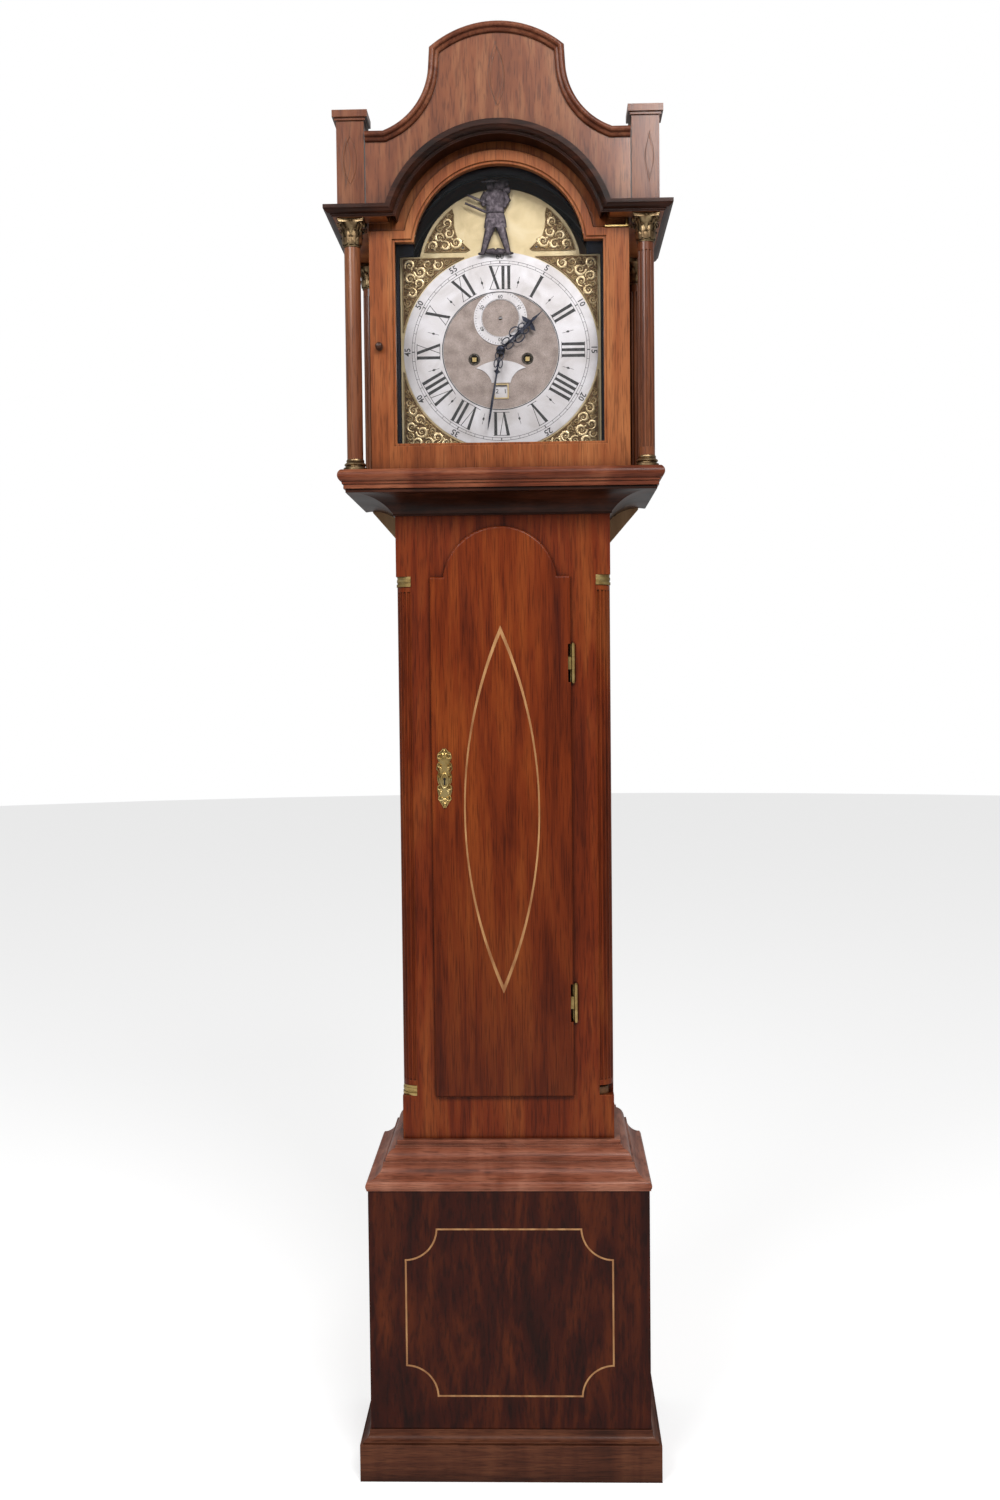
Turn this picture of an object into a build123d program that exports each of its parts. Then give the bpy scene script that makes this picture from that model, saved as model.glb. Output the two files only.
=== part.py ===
"""Longcase clock with a break-arch hood, an arched brass dial and an eight-day weight movement.

X runs to the right, Y runs away from the viewer and Z runs up, in millimetres. The origin is on the
floor, under the middle of the clock's overall box. Depths are distances in front of the wall plane.
"""
from math import atan2, cos, hypot, pi, radians, sin, sqrt
import os

from build123d import *

os.makedirs("parts", exist_ok=True)

# Driving sizes of the case
board = 14.0                    # case sides and base boards
front_board = 16.0              # base front panel
back_board = 14.0
plinth_height = 56.0
plinth_projection = 15.5        # how far the plinth stands out from the base
plinth_top_height = 18.0        # small moulding on the plinth
base_top = 438.4
base_moulding_height = 65.0
trunk_half_width = 161.3
trunk_depth = 208.0
trunk_height = 947.6            # from the base moulding to the throat moulding
trunk_to_base = 50.0            # how far the base stands out from the trunk
trunk_tenon = 18.4              # how far the trunk boards stand down inside the base
stile_thickness = 22.0
throat_height = 33.0
throat_out = 66.0

base_half_width = trunk_half_width + trunk_to_base
base_moulding_top = base_top + base_moulding_height
trunk_foot = base_top - trunk_tenon
throat_bottom = base_moulding_top + trunk_height
throat_top = throat_bottom + throat_height

# Driving sizes of the hood
hood_overhang = 28.7            # how far its sides stand out from the trunk
hood_board = 12.0
hood_base_height = 28.0
hood_height = 361.0             # from its base frame to the soffit of the cornice
hood_nose_out = 15.3            # moulding round the hood's base frame
frieze_depth = 252.0
cornice_height = 15.2
cornice_reach = 44.0            # in front of the frieze
cornice_side_reach = 61.4
arch_drop = 39.0                # centre of the hood's arch below the soffit
arch_mould_inner = 153.0
arch_mould_height = 17.8
slide_gap = 0.3                 # running gap under and beside the hood

hood_half_width = trunk_half_width + hood_overhang
hood_base_top = throat_top + hood_base_height
cornice_soffit = hood_base_top + hood_height
cornice_top = cornice_soffit + cornice_height
cornice_half_width = hood_half_width + cornice_side_reach
cornice_depth = frieze_depth + cornice_reach
arch_centre_z = cornice_soffit - arch_drop
arch_mould_outer = arch_mould_inner + arch_mould_height

# Driving sizes of the dial and the train
dial_rise = 185.0               # dial centre above the hood's base frame
dial_half_width = 150.0
dial_shoulder_rise = 141.0      # above the dial's centre
dial_arch_radius = 122.0
dial_arch_rise = 99.0           # above the dial's shoulders
dial_thickness = 2.5
dial_front = 195.0              # depth of the dial's front face
back_plate_depth = 83.0
plate_thickness = 3.0
plate_gap = 62.0
plate_half_width = 84.0
pivot_play = 0.05
touch_gap = 0.3

dial_centre_z = hood_base_top + dial_rise
dial_shoulder_z = dial_centre_z + dial_shoulder_rise
dial_arch_top = dial_shoulder_z + dial_arch_rise

far_off = 3000.0                # past every piece, for cuts that run right through
wall_y = cornice_depth / 2


def face_plane(depth):
    """Plane facing the viewer at this depth, in which a sketch's x and y are X and Z."""
    return Plane(origin=(0, wall_y - depth, 0), x_dir=(1, 0, 0), z_dir=(0, -1, 0))


def slab(sketch, near, far):
    """A board cut to a front outline, from depth near to depth far."""
    return extrude(face_plane(near) * sketch, amount=far - near)


def block(x0, x1, near, far, z0, z1):
    """A squared board between two X, two depths and two heights."""
    centre = ((x0 + x1) / 2, wall_y - (near + far) / 2, (z0 + z1) / 2)
    return Pos(*centre) * Box(x1 - x0, far - near, z1 - z0)


def pair(solid):
    """A solid and its mirror image on the other side of the clock."""
    return [solid, mirror(solid, about=Plane.YZ)]


def disc(x, z, radius):
    return Pos(x, z) * Circle(radius)


def rod(x, z, near, far, radius):
    """A round bar along Y."""
    return slab(disc(x, z, radius), near, far)


def rect(x0, x1, z0, z1):
    return Pos((x0 + x1) / 2, (z0 + z1) / 2) * Rectangle(x1 - x0, z1 - z0)


def above(z):
    """Everything over a height in a front outline."""
    return rect(-far_off, far_off, z, far_off)


def shape(*points):
    """A straight-sided outline."""
    return make_face(Polyline(*points, close=True))


def solids_of(item):
    """Every separate solid in a shape or a list of shapes."""
    if isinstance(item, (list, tuple)):
        return [solid for one in item for solid in solids_of(one)]
    return list(item.solids())


def save(name, *items):
    """Writes one node: its solids side by side, never fused."""
    solids = solids_of(items)
    whole = solids[0] if len(solids) == 1 else Compound(children=solids)
    export_step(whole, f"parts/{name}.step")


# Mouldings on three sides of the case
def moulding(profile, half_width, depth, back=0.0, reach=120.0):
    """Front and side lengths of one moulding, mitred at the front corners.

    The profile's x is its projection from the case and its y is the height.
    """
    front_y = wall_y - depth
    front = Plane(origin=(0, front_y, 0), x_dir=(0, -1, 0), z_dir=(-1, 0, 0)) * profile
    front = extrude(front, amount=half_width + reach, both=True)
    corner = (half_width, front_y)
    outer = (half_width + reach, front_y - reach)
    mitre = shape((-corner[0], corner[1]), corner, outer, (-outer[0], outer[1]))
    front &= extrude(mitre, amount=far_off)
    side = Plane(origin=(half_width, 0, 0), x_dir=(1, 0, 0), z_dir=(0, -1, 0)) * profile
    side = extrude(side, amount=1000, both=True)
    rear = wall_y - back
    zone = shape(corner, outer, (outer[0], rear), (corner[0], rear))
    side &= extrude(zone, amount=far_off)
    return [front, *pair(side)]


# Plinth and base
stringing = 2.6                 # width of the light inlaid lines
line_side, line_bottom, line_drop, line_scoop = 54.3, 123.4, 57.2, 47.0


def make_base():
    base_depth = trunk_depth + trunk_to_base
    plinth_half = base_half_width + plinth_projection
    plinth_depth = base_depth + plinth_projection
    skirt = block(-plinth_half, plinth_half, base_depth, plinth_depth, 0, plinth_height)
    skirt_side = block(base_half_width, plinth_half, 0, base_depth, 0, plinth_height)
    save("plinth_boards", skirt, pair(skirt_side))

    lip, fillet = 8.5, 3.0
    z0, z1 = plinth_height, plinth_height + plinth_top_height
    edge = Polyline((0, z0), (lip + fillet, z0), (lip + fillet, z0 + fillet), (lip, z0 + fillet + 1))
    hollow = ThreePointArc((lip, z0 + fillet + 1), (3.6, z0 + 8.5), (2.0, z1 - fillet))
    close = Polyline((2.0, z1 - fillet), (2.0, z1), (0, z1), (0, z0))
    save("plinth_moulding", moulding(make_face(edge + hollow + close), base_half_width, base_depth))

    panel_back = base_depth - front_board
    panel = block(-base_half_width, base_half_width, panel_back, base_depth, 0, base_top)
    line_half_width = base_half_width - line_side
    inlay = scooped_line(line_half_width, line_bottom, base_top - line_drop, line_scoop, stringing)
    inlay = slab(inlay, base_depth - 1.0, base_depth)
    sides = pair(block(base_half_width - board, base_half_width, 0, panel_back, 0, base_top))
    inside = base_half_width - board
    floor_z, floor_thickness = 30.0, 14.0
    floor = block(-inside, inside, back_board, panel_back, floor_z, floor_z + floor_thickness)
    save("base_boards", panel - inlay, sides, floor)
    save("base_stringing", inlay)

    out, z0, z1 = trunk_to_base, base_top, base_moulding_top
    lip_out, bead = out + 3.5, 6.0
    profile = Polyline((0, z0), (lip_out - 1.5, z0), (lip_out - 1.5, z0 + 2))
    profile += ThreePointArc((lip_out - 1.5, z0 + 2), (lip_out, z0 + 2 + bead), (lip_out - 3, z0 + 14))
    profile += Line((lip_out - 3, z0 + 14), (lip_out - 6, z0 + 14))
    profile += ThreePointArc((lip_out - 6, z0 + 14), (36.0, z0 + 20), (29.0, z0 + 33))
    profile += Polyline((29.0, z0 + 33), (29.0, z0 + 37), (25.5, z0 + 37))
    profile += ThreePointArc((25.5, z0 + 37), (22.5, z0 + 47), (12.0, z0 + 54))
    profile += Polyline((12.0, z0 + 54), (12.0, z0 + 58), (9.0, z0 + 58), (9.0, z1), (0, z1), (0, z0))
    save("base_moulding", moulding(make_face(profile), trunk_half_width, trunk_depth))


def scooped_line(half_width, bottom, top, scoop, line):
    """A rectangular stringing line whose corners are hollow quarter rounds."""
    def field(inset):
        plate = rect(-half_width + inset, half_width - inset, bottom + inset, top - inset)
        for x in (-half_width, half_width):
            for z in (bottom, top):
                plate -= disc(x, z, scoop + inset)
        return plate
    return field(0) - field(line)


def pointed_oval(x, z, half_width, half_height, line):
    """A pointed oval line, the overlap of two large circles."""
    def lens(inset):
        across, up = half_width - inset, half_height - inset * half_height / half_width
        radius = (up ** 2 + across ** 2) / (2 * across)
        shift = radius - across
        return disc(x - shift, z, radius) & disc(x + shift, z, radius)
    return lens(0) - lens(line)


# Backboard, sides and front frame of the trunk
ear_drop = 36.0                 # the ears that close the throat's ends start this far below it
ear_reach = 54.7
hood_clearance = 0.5
screw_hole_x, screw_hole_drop, screw_hole_radius = 110.0, 47.0, 4.0
seat_drop = 103.0               # underside of the seatboard below the dial's centre
cheek_depth = 180.0
stile_width = 59.3
top_rail, bottom_rail = 99.0, 73.6
door_centre_x = -4.75
opening_centre_x = -2.0
opening_shoulder_width = 22.0   # level shoulders beside the arch
arch_centre_drop = 4.6
quarter_radius = 21.5
quarter_stop_low, quarter_stop_high = 66.1, 91.0
quarter_brass = 15.0

ear_foot = throat_bottom - ear_drop
ear_half_width = trunk_half_width + ear_reach
screw_hole_z = dial_centre_z - screw_hole_drop
cheek_top = dial_centre_z - seat_drop
opening_half_width = trunk_half_width - stile_width
opening_bottom = base_moulding_top + bottom_rail
opening_shoulder = throat_bottom - top_rail
opening_arch_radius = opening_half_width - opening_shoulder_width
door_arch_centre_z = opening_shoulder - arch_centre_drop
quarter_bottom = base_moulding_top + quarter_stop_low
quarter_top = throat_bottom - quarter_stop_high


def opening_outline(inset=0.0):
    """Arched opening of the trunk, drawn in by the inset all round."""
    low = opening_centre_x - opening_half_width + inset
    high = opening_centre_x + opening_half_width - inset
    square = rect(low, high, opening_bottom + inset, opening_shoulder - inset)
    return square + disc(door_centre_x, door_arch_centre_z, opening_arch_radius - inset)


def make_trunk():
    inner = hood_half_width - hood_board - hood_clearance
    hood_back = rect(-inner, inner, hood_base_top + slide_gap, cornice_soffit - hood_clearance)
    vault = disc(0, arch_centre_z, arch_mould_inner - 0.6)
    vault &= above(cornice_soffit - 5) & rect(-inner, inner, 0, far_off)
    ear = shape(
        (trunk_half_width, ear_foot), (ear_half_width, throat_top - 6), (ear_half_width, throat_top),
        (-ear_half_width, throat_top), (-ear_half_width, throat_top - 6), (-trunk_half_width, ear_foot))
    outline = rect(-trunk_half_width, trunk_half_width, base_top - 8, hood_base_top + 8)
    outline += hood_back + vault + ear
    inside = base_half_width - board
    outline += rect(-inside, inside, 0, base_top)
    screw_hole = rod(screw_hole_x, screw_hole_z, -1, back_board + 1, screw_hole_radius)
    backboard = slab(outline, 0, back_board) - screw_hole
    save("backboard", backboard)

    frame_back = trunk_depth - stile_thickness
    side = block(trunk_half_width - board, trunk_half_width, back_board, frame_back, trunk_foot, throat_top)
    cheek = block(trunk_half_width - board, trunk_half_width, back_board, cheek_depth,
                  throat_top - 1, cheek_top)
    runner = block(trunk_half_width, trunk_half_width + 9, back_board + 20, cheek_depth,
                   hood_base_top + slide_gap, hood_base_top + slide_gap + 12)
    save("trunk_side_boards", pair(side + cheek), pair(runner))

    stiles = []
    for sign in (-1, 1):
        edge = opening_centre_x + sign * opening_half_width
        low, high = sorted((edge, sign * trunk_half_width))
        stile = block(low, high, frame_back, trunk_depth, trunk_foot, throat_top)
        corner = sorted((sign * (trunk_half_width - stile_thickness), sign * (trunk_half_width + 1)))
        notch = block(*corner, frame_back - 1, trunk_depth + 1, quarter_bottom, quarter_top)
        stiles.append(stile - notch)
    stiles[1] -= hinge_recess(0)
    low, high = opening_centre_x - opening_half_width, opening_centre_x + opening_half_width
    top = rect(low, high, opening_shoulder - 4, throat_top) - opening_outline()
    bottom = rect(low, high, trunk_foot, opening_bottom)
    rails = [slab(top, frame_back, trunk_depth), slab(bottom, frame_back, trunk_depth)]
    save("trunk_front_frame", stiles, rails)

    columns, brasses = [], []
    for sign in (-1, 1):
        x = sign * (trunk_half_width - stile_thickness)
        columns.append(quarter_column(sign, x, frame_back))
        ends = [quarter_top - quarter_brass, quarter_bottom]
        if sign > 0:
            ends = ends[:1]
        brasses += [quarter_brass_piece(sign, x, frame_back, z) for z in ends]
    foot_height, foot_radius = 11.0, 15.0
    x = trunk_half_width - stile_thickness
    foot = quarter_turned(1, x, frame_back, foot_radius, quarter_bottom, quarter_bottom + foot_height)
    save("quarter_columns", columns, foot)
    fixed_leaves, moving_leaves = trunk_hinges()
    save("trunk_brass_fittings", brasses, fixed_leaves)
    save("trunk_door_hinge_leaves", moving_leaves)

    z0, z1, out = throat_bottom, throat_top, throat_out
    profile = Polyline((0, z0), (3, z0), (3, z0 + 3))
    profile += ThreePointArc((3, z0 + 3), (24, z0 + 21.5), (out - 2, z1 - 5))
    profile += Polyline((out - 2, z1 - 5), (out, z1 - 5), (out, z1), (0, z1), (0, z0))
    lengths = moulding(make_face(profile), trunk_half_width, trunk_depth, back_board)
    save("throat_moulding", lengths)


def quarter_turned(sign, x, near, radius, z0, z1):
    """A quarter of an upright cylinder in the trunk's front corner."""
    round_bar = Pos(x, wall_y - near, (z0 + z1) / 2) * Cylinder(radius, z1 - z0)
    low, high = sorted((x, x + sign * 60))
    return round_bar & block(low, high, near, near + 60, z0, z1)


def quarter_column(sign, x, near):
    flute_count = 5
    flute_radius, plain_end = 2.1, 8.0
    column = quarter_turned(sign, x, near, quarter_radius, quarter_bottom + quarter_brass,
                            quarter_top - quarter_brass)
    length = quarter_top - quarter_bottom - 2 * (quarter_brass + plain_end)
    middle = (quarter_top + quarter_bottom) / 2
    for n in range(flute_count):
        angle = radians(90) * (n + 0.5) / flute_count
        place = (x + sign * quarter_radius * cos(angle), wall_y - near - quarter_radius * sin(angle))
        column -= Pos(*place, middle) * Cylinder(flute_radius, length)
    return column


def quarter_brass_piece(sign, x, near, z0):
    """A stack of turned rings, wide at its ends."""
    rings = [(1.6, 0.0, 4.0), (0.3, 4.0, 7.0), (1.2, 7.0, 11.0), (0.5, 11.0, quarter_brass)]
    stack = [quarter_turned(sign, x, near, quarter_radius + out, z0 + low, z0 + high)
             for out, low, high in rings]
    whole = stack[0]
    for ring in stack[1:]:
        whole += ring
    return whole


# Trunk door
lip_over, lip_over_right, lip_over_bottom = 6.5, 1.0, 8.0
lip_thickness = 8.0
door_lead = 1.8                 # room between door and opening, which lets the door swing clear
door_body = 20.0                # how deep the door stands into its opening
door_edge_round = 3.0
oval_half_width, oval_half_height, oval_drop = 57.5, 278.7, 345.5
hinge_out = 3.3
knuckle_radius = 3.0
pin_radius = 1.5
pin_cap = 1.6
leaf = 1.6
hinge_length, low_hinge_rise, high_hinge_drop = 57.0, 114.8, 159.5
escutcheon_in, escutcheon_drop = 19.5, 297.0
keyhole_drop = 1.7
lock_in, lock_width, lock_height, lock_thickness, lock_drop = 5.0, 33.0, 84.0, 9.0, 41.3
bolt_in, bolt_thickness, bolt_rise, bolt_width, bolt_gap = 2.0, 4.0, 58.0, 14.0, 0.2

lip_left = opening_centre_x - opening_half_width - lip_over
lip_right = opening_centre_x + opening_half_width + lip_over_right
lip_bottom = opening_bottom - lip_over_bottom
lip_shoulder = opening_shoulder + lip_over
lip_arch_radius = opening_arch_radius + lip_over
door_back = trunk_depth - door_body
hinge_x = lip_right + hinge_out
hinge_depth = trunk_depth + hinge_out
low_hinge, high_hinge = lip_bottom + low_hinge_rise, lip_shoulder - high_hinge_drop
hinge_spans = ((low_hinge, low_hinge + hinge_length), (high_hinge, high_hinge + hinge_length))
escutcheon_x, escutcheon_z = lip_left + escutcheon_in, opening_shoulder - escutcheon_drop
keyhole_z = escutcheon_z - keyhole_drop
lock_left = opening_centre_x - opening_half_width + lock_in
lock_right = lock_left + lock_width
lock_low = keyhole_z - lock_drop
lock_high = lock_low + lock_height
lock_near = door_back - lock_thickness
bolt_near = lock_near + bolt_in
bolt_far = bolt_near + bolt_thickness
bolt_low = lock_low + bolt_rise
bolt_high = bolt_low + bolt_width


def hinge_recess(side):
    """Pockets for the hinge leaves, in the stile (0) or in the door (1)."""
    edge = opening_centre_x + opening_half_width
    pockets = []
    for low, high in hinge_spans:
        if side == 0:
            pockets.append(block(edge - 1, edge + leaf, trunk_depth - 16, trunk_depth + 0.1, low, high))
            pockets.append(block(edge - 1, hinge_x + 4, trunk_depth - leaf, trunk_depth + 1, low, high))
        else:
            door_edge = edge - door_lead
            pockets.append(block(door_edge - leaf, door_edge + 5, trunk_depth - 16, trunk_depth + 20,
                                 low - 0.3, high + 0.3))
    whole = pockets[0]
    for pocket in pockets[1:]:
        whole += pocket
    return whole


def make_trunk_door():
    lip_back = trunk_depth + touch_gap
    lip_front = lip_back + lip_thickness
    lip = rect(lip_left, lip_right, lip_bottom, lip_shoulder)
    lip += disc(door_centre_x, door_arch_centre_z, lip_arch_radius)
    plate = slab(lip, lip_back, lip_front)
    front_edges = plate.faces().sort_by(Axis.Y)[0].outer_wire().edges()
    plate = fillet(front_edges, door_edge_round)
    body = slab(opening_outline(door_lead), door_back, lip_back)
    door = plate + body - hinge_recess(1)
    oval = pointed_oval(door_centre_x, opening_shoulder - oval_drop, oval_half_width, oval_half_height,
                        stringing)
    oval = slab(oval, lip_front - 1.0, lip_front)
    keyhole = rod(escutcheon_x + 1.5, keyhole_z + 2, door_back - 1, lip_front + 1, 2.6)
    keyhole += block(escutcheon_x + 0.2, escutcheon_x + 2.8, door_back - 1, lip_front + 1,
                     keyhole_z - 8, keyhole_z + 2)
    save("trunk_door", door - oval - keyhole)
    save("trunk_door_stringing", oval)

    plate = escutcheon_outline()
    cast = slab(plate, lip_front, lip_front + 1.8)
    rim = slab(pointed_oval(escutcheon_x + 1.5, keyhole_z - 1, 6.0, 13.0, 2.2),
               lip_front + 1.8, lip_front + 3.2)
    save("trunk_door_escutcheon", cast + rim - keyhole)

    case = block(lock_left, lock_right, lock_near, door_back, lock_low, lock_high) - keyhole
    tunnel = block(lock_left - 1, lock_right - 8, bolt_near - bolt_gap, bolt_far + bolt_gap,
                   bolt_low - bolt_gap, bolt_high + bolt_gap)
    save("trunk_door_lock", case - tunnel)
    save("trunk_lock_bolt", block(lock_left + 0.6, lock_right - 9, bolt_near, bolt_far, bolt_low, bolt_high))


def trunk_hinges():
    """Leaves on the stile with their pins, and leaves on the door."""
    fixed, moving = [], []
    edge = opening_centre_x + opening_half_width
    door_edge = edge - door_lead
    for low, high in hinge_spans:
        third = (high - low) / 3
        for n in range(3):
            z0, z1 = low + n * third + 0.15, low + (n + 1) * third - 0.15
            knuckle = Pos(hinge_x, wall_y - hinge_depth, (z0 + z1) / 2) * Cylinder(knuckle_radius, z1 - z0)
            bore = Pos(hinge_x, wall_y - hinge_depth, (z0 + z1) / 2)
            bore = bore * Cylinder(pin_radius + pivot_play, z1 - z0 + 1)
            if n == 1:
                web = block(door_edge - leaf, hinge_x, hinge_depth - leaf / 2, hinge_depth + leaf / 2, z0, z1)
                wing = block(door_edge - leaf, door_edge, trunk_depth - 15.5, hinge_depth, z0, z1)
                moving.append(knuckle + web + wing - bore)
            else:
                web = block(edge, hinge_x, trunk_depth - leaf, trunk_depth, z0, z1)
                riser = block(hinge_x - leaf, hinge_x, trunk_depth - leaf, hinge_depth, z0, z1)
                wing = block(edge, edge + leaf, trunk_depth - 15.5, trunk_depth, z0, z1)
                fixed.append(knuckle + web + riser + wing - bore)
        pin = Pos(hinge_x, wall_y - hinge_depth, (low + high) / 2) * Cylinder(pin_radius, high - low)
        cap = Pos(hinge_x, wall_y - hinge_depth) * Cylinder(knuckle_radius - 0.6, pin_cap)
        fixed += [pin + Pos(0, 0, high + pin_cap / 2) * cap + Pos(0, 0, low - pin_cap / 2) * cap]
    return fixed, moving


def escutcheon_outline():
    """A rococo plate: a waisted shield with scrolled ends."""
    x, z = escutcheon_x, escutcheon_z
    right = [(0, 46), (3.5, 41), (8, 40), (9.5, 35), (7, 31), (10.5, 27), (11.5, 19), (8, 13), (10, 6),
             (11.8, -2), (9.5, -10), (7, -14), (10.5, -19), (9, -26), (5.5, -29), (7.5, -34), (4.5, -40),
             (0, -45)]
    left = [(-across, up) for across, up in right[-2:0:-1]]
    return shape(*[(x + across, z + up) for across, up in right + left])


# Hood
column_out, column_forward, rear_column_depth = 23.5, 10.0, 26.0
column_radius = 11.8
column_foot_height, column_cap_height = 15.5, 39.0
rail_out, rail_forward, rail_clear, rail_rear_clear = 32.7, 2.4, 2.2, 4.0
mask_thickness, mask_proud, mask_play = 12.0, 1.0, 1.5
mask_arch_room, mask_arch_half_width = 21.0, 130.0
roof_out, roof_thickness = 13.0, 9.0
block_out, block_width, block_depth, block_proud, block_rise = 3.5, 40.0, 40.0, 2.0, 16.0
cresting_forward, cresting_thickness = 17.0, 12.0
shoulder_rise, crest_corner_rise, crest_rise = 109.8, 117.0, 35.0
crest_half_width = 97.2
hollow_radius, hollow_out, hollow_drop, shoulder_width = 100.6, 102.1, 22.0, 34.0
scribe = 1.1                    # width of a scribed line

column_x = hood_half_width + column_out
column_depth = frieze_depth + column_forward
hood_rail_half_width = hood_half_width + rail_out
hood_rail_inner = trunk_half_width + rail_clear
hood_rail_rear = trunk_depth + rail_rear_clear
mask_far = dial_front + mask_proud
mask_near = mask_far - mask_thickness
mask_arch_top = dial_arch_top + mask_arch_room
mask_arch_radius = dial_arch_radius + mask_arch_room
roof_radius = arch_mould_inner + roof_out
block_inner = hood_half_width + block_out
cresting_front = frieze_depth + cresting_forward
shoulder_z = cornice_top + shoulder_rise
block_top = shoulder_z + block_rise
crest_corner_z = shoulder_z + crest_corner_rise
crest_top_z = crest_corner_z + crest_rise
hollow_x, hollow_z = crest_half_width + hollow_out, crest_corner_z - hollow_drop


def make_hood():
    front = frieze_depth + hood_nose_out + rail_forward
    rail_z0 = throat_top + slide_gap
    frame = rect_plan(-hood_rail_half_width, hood_rail_half_width, 2, front)
    frame -= rect_plan(-hood_rail_inner, hood_rail_inner, 0, hood_rail_rear)
    frame = Pos(0, 0, rail_z0) * extrude(frame, amount=hood_base_top - rail_z0)
    pivot_hole = Pos(door_pivot_x, wall_y - door_pivot_depth, hood_base_top - 3.5)
    frame -= pivot_hole * Cylinder(strap_pin_radius + pivot_play, 8)
    inner, side_front = hood_half_width - hood_board, hood_door_near - 0.4
    strip_near = tongue_near - 1
    side = block(inner, hood_half_width, 2, strip_near, hood_base_top, cornice_soffit)
    strip = block(inner, hood_half_width, strip_near, side_front, hood_base_top, cornice_soffit)
    catch_low, catch_high = knob_z - knob_tongue - 1.5, knob_z + tongue_half + 1.5
    strips = [block(-hood_half_width, -inner, strip_near, side_front, hood_base_top, catch_low),
              block(-hood_half_width, -inner, strip_near, side_front, catch_high, cornice_soffit)]
    keeper_near, skin = tongue_far + 0.5, 1.5
    keeper = block(-hood_half_width, knob_x - tongue_half - 1.1, keeper_near, side_front,
                   catch_low, catch_high)
    cover = block(-hood_half_width, skin - hood_half_width, strip_near, keeper_near, catch_low, catch_high)
    sides = [pair(side), strip, strips, keeper, cover]
    save("hood_frame", frame, sides)

    out, z0, z1 = hood_nose_out, rail_z0, hood_base_top
    profile = Polyline((0, z1), (out - 5, z1))
    profile += ThreePointArc((out - 5, z1), (out, z1 - 8), (out - 4, z1 - 17))
    profile += Polyline((out - 4, z1 - 17), (out - 6, z1 - 17), (out - 6, z1 - 21), (out - 8, z1 - 21),
                        (out - 8, z0), (0, z0), (0, z1))
    save("hood_base_moulding", moulding(make_face(profile), hood_rail_half_width, front, 2))

    mask = rect(-inner, inner, hood_base_top, cornice_soffit)
    arch_cover = disc(0, arch_centre_z, roof_radius - roof_thickness - 0.5)
    mask += arch_cover & above(cornice_soffit - 2) & rect(-inner, inner, 0, far_off)
    opening = rect(-dial_half_width - mask_play, dial_half_width + mask_play,
                   dial_bottom() - mask_play, dial_shoulder_z + mask_play)
    sides = rect(-mask_arch_half_width, mask_arch_half_width, dial_centre_z, far_off)
    opening += disc(0, mask_arch_top - mask_arch_radius, mask_arch_radius) & sides
    save("hood_dial_mask", slab(mask - opening, mask_near, mask_far))

    make_cornice()
    make_cresting()
    make_columns()


def rect_plan(x0, x1, near, far):
    """A rectangle in plan, between two X and two depths."""
    return Pos((x0 + x1) / 2, wall_y - (near + far) / 2) * Rectangle(x1 - x0, far - near)


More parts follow.
